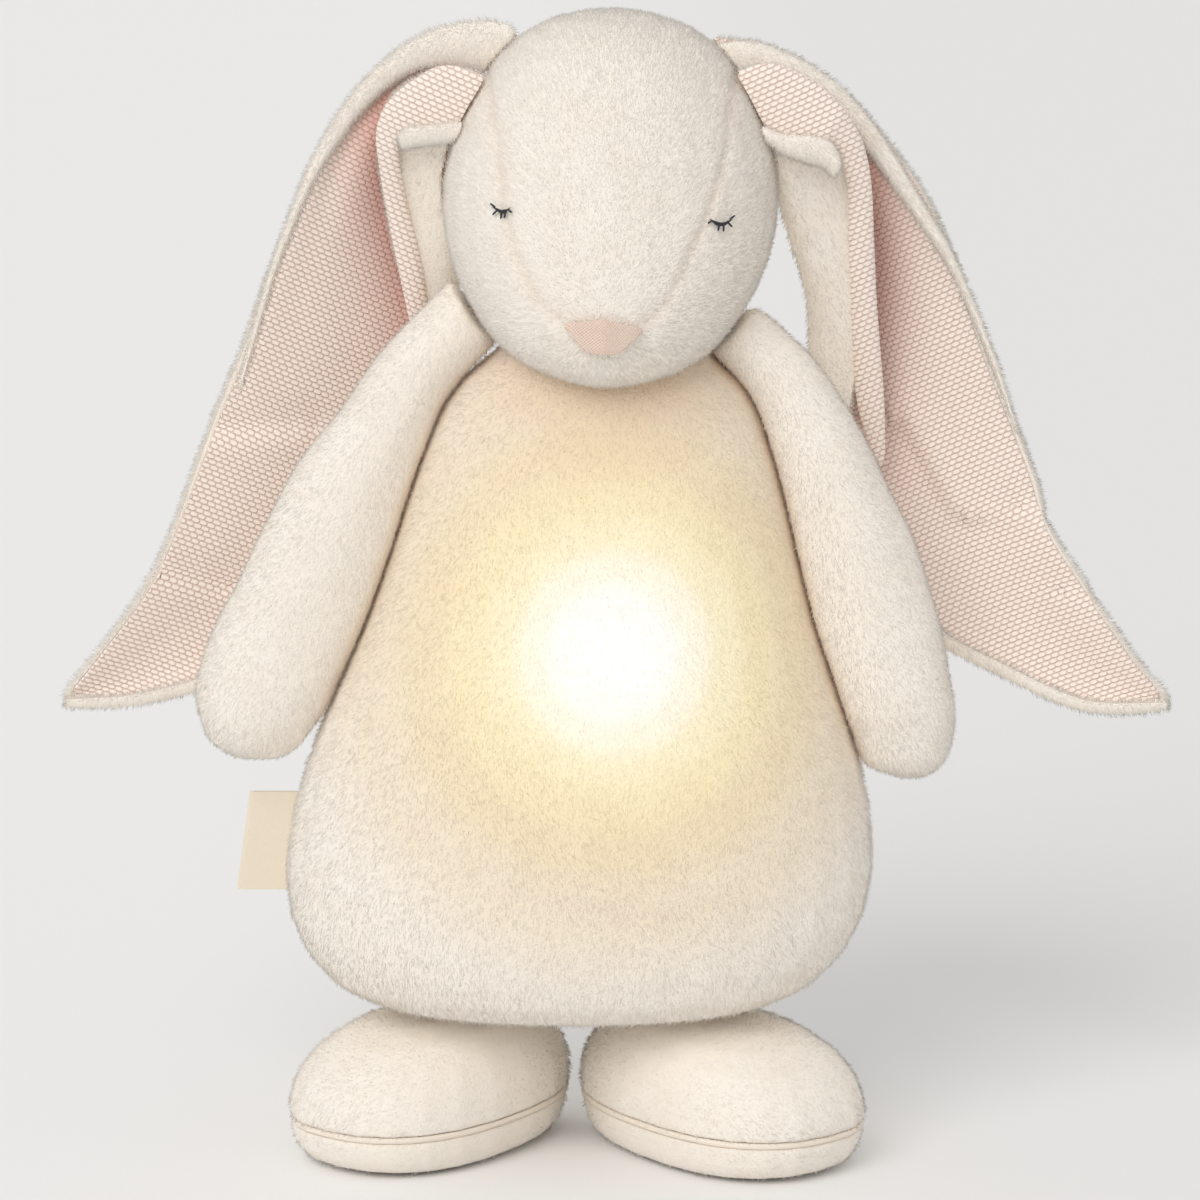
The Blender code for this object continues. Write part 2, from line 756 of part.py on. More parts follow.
def thread(points, radius):
    """A closed tube along points, as a bmesh with its caps welded."""
    curve = bpy.data.curves.new("thread", "CURVE")
    curve.dimensions = "3D"
    curve.bevel_depth = radius
    curve.bevel_resolution = 1
    curve.use_fill_caps = True
    spline = curve.splines.new("POLY")
    spline.points.add(len(points) - 1)
    for point, place in zip(spline.points, points):
        point.co = (*place, 1)
    guide = bpy.data.objects.new("thread_guide", curve)
    cutters.objects.link(guide)
    bpy.context.view_layer.update()
    mesh = bpy.data.meshes.new_from_object(guide.evaluated_get(bpy.context.evaluated_depsgraph_get()))
    bpy.data.objects.remove(guide, do_unlink=True)
    bm = bmesh.new()
    bm.from_mesh(mesh)
    bpy.data.meshes.remove(mesh)
    bmesh.ops.remove_doubles(bm, verts=bm.verts, dist=0.001 * MM)
    return bm


def make_eye(name, centre_x, centre_z, outwards, tree, look):
    """A closed lid and three lashes, stitched on the head."""
    lift = CLEARANCE + EYE_THREAD_RADIUS
    turn = Matrix.Rotation(-HEAD_ROLL, 2)

    def place(across, down):
        local = turn @ Vector((across * outwards, -down))
        return on_head(tree, centre_x + local.x, centre_z + local.y, lift)

    lid = []
    for step in range(EYE_POINTS):
        share = step / (EYE_POINTS - 1)
        lid.append(place((share - 0.5) * EYE_WIDTH, EYE_DROP * math.sin(math.pi * share)))
    eye = add_object(name, thread(lid, EYE_THREAD_RADIUS), look)
    for index, (share, leaning) in enumerate(LASH_SHARES):
        across = (share - 0.5) * EYE_WIDTH
        down = EYE_DROP * math.sin(math.pi * share)
        way = Vector((leaning, 1)).normalized() * LASH_LENGTH
        lash = [place(across, down), place(across + way.x, down + way.y)]
        tool = add_object("%s_lash_%d" % (name, index), thread(lash, EYE_THREAD_RADIUS), None)
        combine(eye, tool, "UNION")
    return eye


# The arms


def arm_form(rows, shoulder_x, side):
    """An arm that swells towards the hand; its sections stand square to its path."""

    def centre(share):
        out, down, _, _ = smooth_row(rows, share)
        x = shoulder_x + side * out * ARM_LENGTH
        return Vector((x, ARM_CENTRE_Y, SHOULDER_Z - down * ARM_LENGTH))

    def place(share, angle):
        _, _, half_width, half_depth = smooth_row(rows, share)
        step = 0.01
        way = (centre(share + step) - centre(share - step)).normalized()
        across = Vector((-way.z, 0, way.x))
        end = 1 if 0 < share < 1 else 0
        offset = across * (half_width * ARM_WIDTH * math.cos(angle) * end)
        offset += Vector((0, half_depth * ARM_DEPTH * math.sin(angle) * end, 0))
        return centre(share) + offset

    return round_form(ARM_ROUND_SIDES, ARM_RINGS, place)


def make_arm(name, rows, shoulder_x, side, plush, cutting):
    arm = add_object(name, arm_form(rows, shoulder_x, side), plush)
    for tool in cutting:
        combine(arm, tool)
    place = (shoulder_x, ARM_CENTRE_Y, SHOULDER_Z + ARM_PIVOT_UP)
    axis = add_empty(name + "_axis", place)
    return carry(arm, axis)


# The ears


def ear_crease(rows, root, side, share):
    """The crease's place at a share of its path from the root to the tip."""
    out, down, _, _ = smooth_row(rows, share)
    _, back = smooth_row(EAR_BACK_SHARES, share)
    x = root[0] + side * out * EAR_LENGTH
    return Vector((x, back * EAR_LENGTH, root[1] - down * EAR_LENGTH))


def ear_point(rows, root, side, share, across):
    """A point of the ear's middle surface; across runs from its outer edge round the fold."""
    step = 0.02
    crease = ear_crease(rows, root, side, share)
    heading = ear_crease(rows, root, side, share + step) - ear_crease(rows, root, side, share - step)
    square = Vector((heading.z, 0, -heading.x)).normalized() * side
    _, _, width, flap = smooth_row(rows, share)
    back_edge, _ = smooth_row(EAR_BACK_SHARES, share)
    outer = crease - square * (width * EAR_LENGTH)
    outer.y = back_edge * EAR_LENGTH
    inwards = (crease - outer).normalized()
    back = Vector((0, 1, 0))
    back = (back - inwards * back.dot(inwards)).normalized()
    start, end = EAR_FOLD_END_SHARES
    closing = min(max((share - start) / (end - start), 0.0), 1.0)
    closing = closing * closing * (3 - 2 * closing)
    radius = EAR_FOLD_RADIUS + (EAR_CURL_RADIUS - EAR_FOLD_RADIUS) * closing
    flap_length = (flap * EAR_LENGTH - EAR_FOLD_RADIUS) * (1 - closing) + EAR_CURL_RADIUS * closing
    centre = crease - (inwards + back) * radius
    bend = crease - inwards * radius
    cup = back * min(EAR_CUP, (bend - outer).length / 8)
    sheet = [outer, outer.lerp(bend, 0.4) + cup, outer.lerp(bend, 0.8) + cup / 2]
    for index in range(EAR_FOLD_STEPS + 1):
        angle = math.pi * (0.5 - index / EAR_FOLD_STEPS)
        arm = inwards * math.cos(angle) + back * math.sin(angle)
        sheet.append(centre + arm * radius)
    for reach in (flap_length / 2, flap_length):
        sheet.append(centre - back * radius - inwards * reach)
    return Vector(smooth_row(sheet, across))


def ear_sheet(rows, root, side, lift):
    """The ear's middle surface as a grid, lifted off along its normals."""
    bm = bmesh.new()
    bmesh.ops.create_grid(bm, x_segments=EAR_ROWS, y_segments=EAR_COLUMNS, size=0.5)
    step = 0.01

    def surface(share, across):
        return ear_point(rows, root, side, share, across)

    for vert in bm.verts:
        share = vert.co.x + 0.5
        across = vert.co.y + 0.5
        low = max(share - step, 0)
        high = min(share + step, 1)
        left = max(across - step, 0)
        right = min(across + step, 1)
        along = surface(high, across) - surface(low, across)
        over = surface(share, right) - surface(share, left)
        normal = over.cross(along).normalized() * side
        vert.co = surface(share, across) + normal * lift
    return bm


def make_ear_layer(name, rows, root, side, thickness, facing, look, cutting):
    """One layer of an ear: facing is 1 for the lining in front of the middle surface, -1 for the plush."""
    sheet = ear_sheet(rows, root, side, facing * (EAR_LAYER_GAP + thickness) / 2)
    layer = add_object(name, sheet, look)
    wall = layer.modifiers.new("thickness", "SOLIDIFY")
    wall.thickness = thickness
    wall.offset = 0
    for tool in cutting:
        combine(layer, tool)
    return layer


def make_ear(name, rows, root, side, plush, knit, cutting):
    place = (root[0] - side * EAR_PIVOT_IN, 0, root[1] + EAR_PIVOT_UP)
    axis = add_empty(name + "_axis", place)
    back = make_ear_layer(name + "_back", rows, root, side, EAR_BACK_THICKNESS, -1, plush, cutting)
    lining = make_ear_layer(name + "_lining", rows, root, side, EAR_LINING_THICKNESS, 1, knit, cutting)
    carry(back, axis)
    carry(lining, axis)


# The feet


def foot_form(centre_x, centre_y, turn):
    """A stuffed foot: an oval with a wide, lower toe, pointing forwards and turned outwards."""

    def place(share, angle):
        height, size = smooth_row(FOOT_PROFILE_SHARES, share)
        end = 1 if 0 < share < 1 else 0
        across, along = rounded_square(angle, SECTION_POWER)
        toe = -along
        width = FOOT_WIDTH / 2 * (1 + TOE_SPREAD_SHARE * toe)
        x = across * width * size * end
        y = along * FOOT_LENGTH / 2 * size * end
        drop = 1 - TOE_DROP_SHARE * max(0, toe * size * end)
        z = max(0, min(1, height)) * FOOT_HEIGHT * drop
        flat = Matrix.Rotation(turn, 2) @ Vector((x, y))
        return Vector((centre_x + flat.x, centre_y + flat.y, z))

    return round_form(FOOT_ROUND_SIDES, FOOT_RINGS, place)


def make_foot(side_name, centre_x, centre_y, turn, plush):
    """The stuffed upper and, under the seam, the sole that it is sewn to."""
    for name, keep_low in (("foot_" + side_name, False), ("sole_" + side_name, True)):
        bm = foot_form(centre_x, centre_y, turn)
        cut_z = SOLE_HEIGHT if keep_low else SOLE_HEIGHT + CLEARANCE
        geometry = bm.verts[:] + bm.edges[:] + bm.faces[:]
        result = bmesh.ops.bisect_plane(
            bm,
            geom=geometry,
            plane_co=(0, 0, cut_z),
            plane_no=(0, 0, 1),
            clear_outer=keep_low,
            clear_inner=not keep_low,
        )
        rim = [item for item in result["geom_cut"] if isinstance(item, bmesh.types.BMEdge)]
        bmesh.ops.contextual_create(bm, geom=rim)
        add_object(name, bm, plush)


def make_label(look, body):
    bm = box((LABEL_WIDTH, LABEL_THICKNESS, LABEL_HEIGHT), (0, 0, 0))
    label = add_object("side_label", bm, look)
    side = torso_centre_x(LABEL_CENTRE_Z) - TORSO_WIDTH / 2
    label.location = (side - LABEL_OUT, 0, LABEL_CENTRE_Z)
    label.rotation_euler = (0, -LABEL_TURN, 0)
    return combine(label, body)


# The light module, modelled upright with its rear face at z = 0


def screw_places():
    places = []
    for angle in SCREW_ANGLES:
        places.append((SCREW_RING_RADIUS * math.cos(angle), SCREW_RING_RADIUS * math.sin(angle)))
    return places


def button_places():
    return ((-BUTTON_SPACING / 2, BUTTON_UP), (BUTTON_SPACING / 2, BUTTON_UP))


def door_screw_place():
    return (0, BAY_CENTRE_UP + BAY_HEIGHT / 2 + BAY_WALL)


def tool(name, bm, seat):
    return add_object(name, bm, None, seat)


def make_rear_housing(seat, look):
    """A cup with a battery bay, screw bosses and two button holes in its rear wall."""
    inner = MODULE_RADIUS - HOUSING_WALL
    edge = REAR_HOUSING_DEPTH - CLEARANCE / 2
    profile = (
        (0, HOUSING_WALL),
        (inner, HOUSING_WALL),
        (inner, edge),
        (MODULE_RADIUS, edge),
        (MODULE_RADIUS, 0),
        (0, 0),
    )
    housing = turned("rear_housing", tuple(reversed(profile)), look, seat)
    wall = 2 * BAY_WALL
    middle = (0, BAY_CENTRE_UP)
    size = (BAY_LENGTH + wall, BAY_HEIGHT + wall, BAY_DEPTH + HOUSING_WALL)
    bay = tool("bay_box", box(size, (*middle, HOUSING_WALL / 2 + size[2] / 2)), seat)
    combine(housing, bay, "UNION")
    boss_top = BOARD_DEPTH - CLEARANCE
    for index, place in enumerate(screw_places()):
        boss = cylinder(SCREW_BOSS_RADIUS, HOUSING_WALL / 2, boss_top, place)
        combine(housing, tool("rear_boss_%d" % index, boss, seat), "UNION")
    tab = door_screw_place()
    boss = cylinder(DOOR_TAB_RADIUS + HOUSING_WALL, HOUSING_WALL / 2, BAY_DEPTH, tab)
    combine(housing, tool("door_boss", boss, seat), "UNION")
    size = (BAY_LENGTH, BAY_HEIGHT, BAY_DEPTH + OVERRUN)
    cavity = box(size, (*middle, BAY_DEPTH - size[2] / 2))
    combine(housing, tool("bay_cavity", cavity, seat))
    recess = door_outline("door_recess", CLEARANCE, DOOR_THICKNESS + CLEARANCE, seat)
    combine(housing, recess)
    screw_hole = cylinder(SCREW_RADIUS + CLEARANCE, 0, DOOR_SCREW_LENGTH + CLEARANCE, tab)
    combine(housing, tool("door_screw_hole", screw_hole, seat))
    for index, place in enumerate(button_places()):
        hole = cylinder(BUTTON_RADIUS + CLEARANCE, -OVERRUN, HOUSING_WALL * 2, place, ROUND_SEGMENTS // 2)
        combine(housing, tool("button_hole_%d" % index, hole, seat))
    for index, place in enumerate(screw_places()):
        shank = cylinder(SCREW_RADIUS + CLEARANCE, -OVERRUN, REAR_HOUSING_DEPTH, place)
        combine(housing, tool("screw_hole_%d" % index, shank, seat))
        head_depth = SCREW_HEAD_HEIGHT + 2 * CLEARANCE
        head = cylinder(SCREW_HEAD_RADIUS + CLEARANCE, -OVERRUN, head_depth, place)
        combine(housing, tool("screw_sink_%d" % index, head, seat))
    return housing


def door_outline(name, grow, depth, seat, look=None):
    """The battery door's plate with its screw tab, swollen by a gap."""
    length = BAY_LENGTH + 2 * (DOOR_OVERLAP + grow)
    height = BAY_HEIGHT + 2 * (DOOR_OVERLAP + grow)
    low = -OVERRUN if look is None else 0
    plate = box((length, height, depth - low), (0, BAY_CENTRE_UP, (depth + low) / 2))
    door = add_object(name, plate, look, seat)
    tab = cylinder(DOOR_TAB_RADIUS + grow, low, depth, door_screw_place(), ROUND_SEGMENTS // 2)
    return combine(door, tool(name + "_tab", tab, seat), "UNION")


def make_battery_door(seat, look, steel):
    door = door_outline("battery_door", 0, DOOR_THICKNESS, seat, look)
    place = door_screw_place()
    hole = cylinder(SCREW_RADIUS + CLEARANCE, -OVERRUN, OVERRUN, place)
    combine(door, tool("door_hole", hole, seat))
    sink = cylinder(SCREW_HEAD_RADIUS + CLEARANCE, -OVERRUN, SCREW_HEAD_HEIGHT / 2, place)
    combine(door, tool("door_sink", sink, seat))
    make_screw("door_screw", place, -SCREW_HEAD_HEIGHT / 2 - CLEARANCE, DOOR_SCREW_LENGTH, seat, steel)


def make_screw(name, place, low, high, seat, look):
    """A pan-head screw with a cross slot, its head at the low end."""
    neck = low + SCREW_HEAD_HEIGHT
    head = cylinder(SCREW_HEAD_RADIUS, low, neck, place)
    screw = add_object(name, head, look, seat)
    shank = cylinder(SCREW_RADIUS, neck - SCREW_HEAD_HEIGHT / 4, high, place)
    combine(screw, tool(name + "_shank", shank, seat), "UNION")
    slot_size = SCREW_RADIUS / 3
    for index, size in enumerate(((SCREW_RADIUS * 3, slot_size), (slot_size, SCREW_RADIUS * 3))):
        slot = box((*size, SCREW_HEAD_HEIGHT), (*place, low))
        combine(screw, tool("%s_slot_%d" % (name, index), slot, seat))
    return screw


def make_front_housing(seat, look):
    """A ring that holds the diffuser's flange behind its rim, with three screw bosses."""
    low = REAR_HOUSING_DEPTH + CLEARANCE / 2
    inner = MODULE_RADIUS - HOUSING_WALL
    flange_top = FRONT_RIM_DEPTH - HOUSING_WALL
    rim_inner = DIFFUSER_RADIUS + CLEARANCE
    profile = (
        (MODULE_RADIUS, low),
        (MODULE_RADIUS, SHOULDER_DEPTH),
        (FRONT_RIM_RADIUS, FRONT_RIM_DEPTH),
        (rim_inner, FRONT_RIM_DEPTH),
        (rim_inner, flange_top),
        (DIFFUSER_RADIUS + DIFFUSER_FLANGE + CLEARANCE, flange_top),
        (inner, SHOULDER_DEPTH),
        (inner, low),
    )
    housing = turned("front_housing", tuple(reversed(profile)), look, seat)
    boss_low = BOARD_DEPTH + BOARD_THICKNESS + CLEARANCE
    boss_high = boss_low + SCREW_REACH + HOUSING_WALL
    for index, place in enumerate(screw_places()):
        boss = cylinder(SCREW_BOSS_RADIUS, boss_low, boss_high, place)
        combine(housing, tool("front_boss_%d" % index, boss, seat), "UNION")
        hole = cylinder(SCREW_RADIUS + CLEARANCE, 0, boss_low + SCREW_REACH, place)
        combine(housing, tool("front_hole_%d" % index, hole, seat))
    return housing


def dome_profile(radius, base, top):
    """Points of a shallow dome from its rim to its crown."""
    points = []
    for step in range(DIFFUSER_RINGS + 1):
        angle = math.pi / 2 * step / DIFFUSER_RINGS
        points.append((radius * math.cos(angle), base + (top - base) * math.sin(angle)))
    points[-1] = (0, top)
    return points


def make_diffuser(seat, look):
    """A milky dome with a flange that the front housing's rim holds."""
    flange_top = FRONT_RIM_DEPTH - HOUSING_WALL - CLEARANCE
    flange_low = flange_top - DIFFUSER_WALL
    outer = dome_profile(DIFFUSER_RADIUS, flange_top, MODULE_DEPTH)
    inner = dome_profile(DIFFUSER_RADIUS - DIFFUSER_WALL, flange_low, MODULE_DEPTH - DIFFUSER_WALL)
    rim = DIFFUSER_RADIUS + DIFFUSER_FLANGE
    profile = list(reversed(outer)) + [(rim, flange_top), (rim, flange_low)] + inner
    return turned("light_diffuser", profile, look, seat)


def make_reflector(seat, look):
    """A white cone from the board's middle to the diffuser's flange."""
    low = BOARD_DEPTH + BOARD_THICKNESS + CLEARANCE
    high = FRONT_RIM_DEPTH - HOUSING_WALL - DIFFUSER_WALL - 2 * CLEARANCE
    throat = REFLECTOR_THROAT_RADIUS
    mouth = DIFFUSER_RADIUS - CLEARANCE
    profile = (
        (throat, low),
        (mouth, high),
        (mouth + REFLECTOR_WALL, high),
        (throat + REFLECTOR_WALL, low),
    )
    return turned("reflector", profile, look, seat)


def make_board(seat, green, yellow, dark):
    """The round board with four LEDs in front and two switches behind."""
    high = BOARD_DEPTH + BOARD_THICKNESS
    board = add_object(
        "circuit_board", cylinder(BOARD_RADIUS, BOARD_DEPTH, high, segments=ROUND_SEGMENTS), green, seat
    )
    for index, place in enumerate(screw_places()):
        hole = cylinder(SCREW_RADIUS + CLEARANCE, 0, high + OVERRUN, place)
        combine(board, tool("board_hole_%d" % index, hole, seat))
    half = LED_PITCH / 2
    low = high + CLEARANCE
    for index, (x, y) in enumerate(((-half, -half), (half, -half), (half, half), (-half, half))):
        led = box((LED_SIZE, LED_SIZE, LED_HEIGHT), (x, y, low + LED_HEIGHT / 2))
        add_object("led_%d" % (index + 1), led, yellow, seat)
    switch_top = BOARD_DEPTH - CLEARANCE
    names = ("power_switch", "brightness_switch")
    for name, (x, y) in zip(names, button_places()):
        size = (SWITCH_SIZE, SWITCH_SIZE, SWITCH_HEIGHT)
        add_object(name, box(size, (x, y, switch_top - SWITCH_HEIGHT / 2)), dark, seat)


def make_buttons(seat, look):
    """Two rubber caps that their flanges hold in the rear wall, each with a stem to its switch."""
    flange_low = HOUSING_WALL + CLEARANCE
    flange_high = flange_low + BUTTON_FLANGE_THICKNESS
    stem_end = BOARD_DEPTH - 2 * CLEARANCE - SWITCH_HEIGHT - BUTTON_TRAVEL
    for name, (x, y) in zip(("power_button", "brightness_button"), button_places()):
        profile = (
            (0, stem_end),
            (BUTTON_STEM_RADIUS, stem_end),
            (BUTTON_STEM_RADIUS, flange_high),
            (BUTTON_RADIUS + BUTTON_FLANGE, flange_high),
            (BUTTON_RADIUS + BUTTON_FLANGE, flange_low),
            (BUTTON_RADIUS, flange_low),
            (BUTTON_RADIUS, -BUTTON_PROUD / 2),
            (BUTTON_RADIUS - BUTTON_PROUD / 2, -BUTTON_PROUD),
            (0, -BUTTON_PROUD),
        )
        button = turned(name, profile, look, seat, ROUND_SEGMENTS // 2)
        button.location = (x, y, 0)


def cell_places():
    """The height of each cell in the bay and its way round, as 1 or -1."""
    places = []
    for index in range(CELL_COUNT):
        up = BAY_CENTRE_UP + (index - (CELL_COUNT - 1) / 2) * CELL_PITCH
        places.append((up, 1 if index % 2 == 0 else -1))
    return places


def cell_depth():
    return DOOR_THICKNESS + 2 * CLEARANCE + CELL_DIAMETER / 2


def make_cells(seat, body, steel):
    """Three cells side by side, with a plate at each end of the bay and a spring behind each cell."""
    plate_x = BAY_LENGTH / 2 - CLEARANCE - CONTACT_THICKNESS / 2
    for name, way in (("contact_plate_left", -1), ("contact_plate_right", 1)):
        size = (CONTACT_THICKNESS, CONTACT_WIDTH, CONTACT_HEIGHT)
        add_object(name, box(size, (way * plate_x, BAY_CENTRE_UP, cell_depth())), steel, seat)
    tip_end = plate_x - CONTACT_THICKNESS / 2 - CLEARANCE
    for index, (up, way) in enumerate(cell_places()):
        body_end = tip_end - CELL_TIP_LENGTH
        profile = (
            (0, tip_end),
            (CELL_TIP_RADIUS, tip_end),
            (CELL_TIP_RADIUS, body_end),
            (CELL_DIAMETER / 2, body_end),
            (CELL_DIAMETER / 2, body_end - CELL_LENGTH),
            (0, body_end - CELL_LENGTH),
        )
        cell = turned("battery_%d" % (index + 1), profile, body, seat, ROUND_SEGMENTS // 2)
        cell.location = (0, up, cell_depth())
        cell.rotation_euler = (0, way * math.pi / 2, 0)
        spring_high = body_end - CELL_LENGTH - CLEARANCE
        spring = make_spring("battery_spring_%d" % (index + 1), -tip_end, spring_high, steel, seat)
        spring.location = (0, up, cell_depth())
        spring.rotation_euler = (0, way * math.pi / 2, 0)


def make_spring(name, low, high, look, seat):
    """A contact spring wound about Z between two heights."""
    count = SPRING_TURNS * SPRING_TURN_POINTS
    low += SPRING_WIRE
    high -= SPRING_WIRE
    points = []
    for step in range(count + 1):
        share = step / count
        angle = 2 * math.pi * SPRING_TURNS * share
        z = low + (high - low) * share
        points.append((SPRING_RADIUS * math.cos(angle), SPRING_RADIUS * math.sin(angle), z))
    return add_object(name, thread(points, SPRING_WIRE), look, seat)


def make_wires(seat, red, black):
    """Two leads from the bay's upper wall to the back of the board, held wholly inside the housing."""
    bay_top = BAY_CENTRE_UP + BAY_HEIGHT / 2 + BAY_WALL + CLEARANCE
    wire_y = bay_top + WIRE_RADIUS
    board_z = BOARD_DEPTH - CLEARANCE
    for name, side, look in (("battery_wire_red", -1, red), ("battery_wire_black", 1, black)):
        x = side * (BAY_LENGTH / 2 - WIRE_SPACING)
        inner_x = x - side * WIRE_SPACING / 2
        low = Vector((x, wire_y, HOUSING_WALL + CLEARANCE + WIRE_RADIUS))
        rise = Vector((x, wire_y, BAY_DEPTH))
        turn = Vector((inner_x, wire_y + WIRE_RADIUS, BAY_DEPTH + WIRE_SPACING / 2))
        end = Vector((inner_x, wire_y + WIRE_RADIUS, board_z))
        add_object(name, thread((low, rise, turn, end), WIRE_RADIUS), look, seat)


def make_light_module(seat):
    white = material("white_plastic", WHITE_PLASTIC, 0.45)
    steel = material("steel", STEEL, 0.3, 1.0)
    rubber = material("dark_rubber", DARK_RUBBER, 0.6)
    make_rear_housing(seat, white)
    make_front_housing(seat, white)
    make_diffuser(seat, material("milky_plastic", MILKY, 0.4))
    make_reflector(seat, material("reflector_white", WHITE_PLASTIC, 0.2))
    make_board(seat, material("board", BOARD_GREEN, 0.5), material("led", LED_YELLOW, 0.3), rubber)
    make_buttons(seat, rubber)
    make_battery_door(seat, white, steel)
    make_cells(seat, material("cell", CELL_GREY, 0.35), steel)
    make_wires(seat, material("wire_red", WIRE_RED, 0.4), material("wire_black", WIRE_BLACK, 0.4))
    board_top = BOARD_DEPTH + BOARD_THICKNESS + CLEARANCE
    for index, place in enumerate(screw_places()):
        make_screw(
            "housing_screw_%d" % (index + 1),
            place,
            CLEARANCE,
            board_top + SCREW_REACH - CLEARANCE,
            seat,
            steel,
        )


def build_figure():
    plush = material("cream_plush", PLUSH, 0.9)
    knit = material("blush_knit", KNIT, 0.9)
    cloth = material("pocket_cloth", PLUSH, 0.85)
    dark = material("dark_thread", THREAD, 0.7)
    seat = add_empty("light_module_seat", (MODULE_X, MODULE_REAR_Y, MODULE_Z), (math.pi / 2, 0, 0))
    make_torso(plush, make_pocket_cutter(seat))
    make_pocket_liner(seat, cloth)
    make_closure(plush, cloth, material("hook_and_loop", RIBBON, 0.8))
    make_light_module(seat)
    make_head(plush)
    bpy.context.view_layer.update()
    tree = BVHTree.FromBMesh(head_form(0))
    make_nose(material("nose_cloth", KNIT, 0.8))
    make_eye("eye_left", EYE_LEFT_X, EYE_LEFT_Z, -1, tree, dark)
    make_eye("eye_right", EYE_RIGHT_X, EYE_RIGHT_Z, 1, tree, dark)
    body = torso_cutter("torso_swollen", -CLEARANCE)
    skull = add_object("head_swollen", head_form(-CLEARANCE), None)
    swing = add_object("head_swing", head_form(-ARM_HEAD_GAP), None)
    make_arm("arm_left", ARM_LEFT_SHARES, SHOULDER_LEFT_X, -1, plush, (body, swing))
    make_arm("arm_right", ARM_RIGHT_SHARES, SHOULDER_RIGHT_X, 1, plush, (body, swing))
    left_root = (EAR_LEFT_ROOT_X, EAR_LEFT_ROOT_Z)
    right_root = (EAR_RIGHT_ROOT_X, EAR_RIGHT_ROOT_Z)
    make_ear("ear_left", EAR_LEFT_SHARES, left_root, -1, plush, knit, (skull, body))
    make_ear("ear_right", EAR_RIGHT_SHARES, right_root, 1, plush, knit, (skull, body))
    make_foot("left", FOOT_LEFT_X, FOOT_LEFT_Y, FOOT_LEFT_TURN, plush)
    make_foot("right", FOOT_RIGHT_X, FOOT_RIGHT_Y, FOOT_RIGHT_TURN, plush)
    make_label(material("ribbon", RIBBON, 0.7), body)


build_figure()
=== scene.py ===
"""The plush rabbit night light as it looks: its soft pieces are made here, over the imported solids."""

import math

import bmesh
import bpy
import numpy as np
from mathutils import Matrix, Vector
from mathutils.bvhtree import BVHTree


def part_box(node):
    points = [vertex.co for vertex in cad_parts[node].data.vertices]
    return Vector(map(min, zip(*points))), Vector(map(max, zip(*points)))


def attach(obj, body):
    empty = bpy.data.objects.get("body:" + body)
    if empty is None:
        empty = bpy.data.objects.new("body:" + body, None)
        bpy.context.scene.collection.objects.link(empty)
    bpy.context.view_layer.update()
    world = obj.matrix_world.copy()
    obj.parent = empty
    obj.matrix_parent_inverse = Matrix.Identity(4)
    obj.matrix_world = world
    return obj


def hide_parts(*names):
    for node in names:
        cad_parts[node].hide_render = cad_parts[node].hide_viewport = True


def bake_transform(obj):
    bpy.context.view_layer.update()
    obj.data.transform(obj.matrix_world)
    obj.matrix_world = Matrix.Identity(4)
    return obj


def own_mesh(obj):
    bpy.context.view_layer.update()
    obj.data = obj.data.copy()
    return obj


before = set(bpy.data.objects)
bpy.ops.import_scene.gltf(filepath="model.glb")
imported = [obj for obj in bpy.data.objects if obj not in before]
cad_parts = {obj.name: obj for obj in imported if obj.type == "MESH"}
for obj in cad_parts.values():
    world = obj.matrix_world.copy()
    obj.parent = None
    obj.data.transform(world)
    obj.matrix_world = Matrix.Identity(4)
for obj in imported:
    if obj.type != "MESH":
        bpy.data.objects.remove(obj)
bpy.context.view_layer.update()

# The stage
# A seamless pale paper floor under one large soft light from the upper left, with an even pale room
# about it. The camera stands ten degrees above the table and 1.5 m away.

MM = 0.001
PIXELS_PER_MM = 3.625
PICTURE_WIDTH = 1200 / PIXELS_PER_MM * MM
SENSOR_WIDTH = 36
CAMERA_DISTANCE = 1500 * MM
CAMERA_RISE = math.radians(10)
CAMERA_TARGET = (-4.54 * MM, 1 * MM, 154.8 * MM)
FLOOR_SIZE = 60
SUN_STRENGTH = 1.2
SUN_SPREAD = math.radians(38)
SUN_TURN = (math.radians(50), math.radians(-20), math.radians(-8))
ROOM_STRENGTH = 0.66


def srgb(red, green, blue):
    """A colour as seen on a screen, 0 to 255, turned into linear light: each part to the power 2.4 above the
    dark toe."""
    seen = np.array((red, green, blue)) / 255
    light = np.where(seen <= 0.04045, seen / 12.92, ((seen + 0.055) / 1.055) ** 2.4)
    return (*(float(part) for part in light), 1.0)


def fill(node, *sockets, **named):
    """Give a node's inputs plain values or other nodes' outputs: its first inputs in turn, then the named
    ones, where _ stands for a space."""
    for label, value in (*enumerate(sockets), *named.items()):
        socket = node.inputs[label.replace("_", " ") if isinstance(label, str) else label]
        if isinstance(value, bpy.types.NodeSocket):
            node.id_data.links.new(value, socket)
        else:
            socket.default_value = value
    return node


def shader_node(tree, kind, *sockets, out=0, **named):
    """One output of a new shader node. Names in lower case are its settings, and the rest fills its inputs."""
    node = tree.nodes.new("ShaderNode" + kind)
    for setting in [label for label in named if label.islower()]:
        setattr(node, setting, named.pop(setting))
    return fill(node, *sockets, **named).outputs[out]


def mixed(tree, factor, first, second, **settings):
    """A colour that goes from the first at factor 0 to the second at 1."""
    return shader_node(tree, "Mix", Factor=factor, A=first, B=second, out="Result", data_type="RGBA", **settings)


def fresh_material(name, colour, roughness, **values):
    """A Principled material with its plain values, and its shader."""
    made = bpy.data.materials.new(name)
    made.use_nodes = True
    shader = made.node_tree.nodes["Principled BSDF"]
    fill(shader, Base_Color=colour, Roughness=roughness, **values)
    return made, shader


def linked(name, data):
    """A new object in the scene."""
    obj = bpy.data.objects.new(name, data)
    bpy.context.scene.collection.objects.link(obj)
    return obj


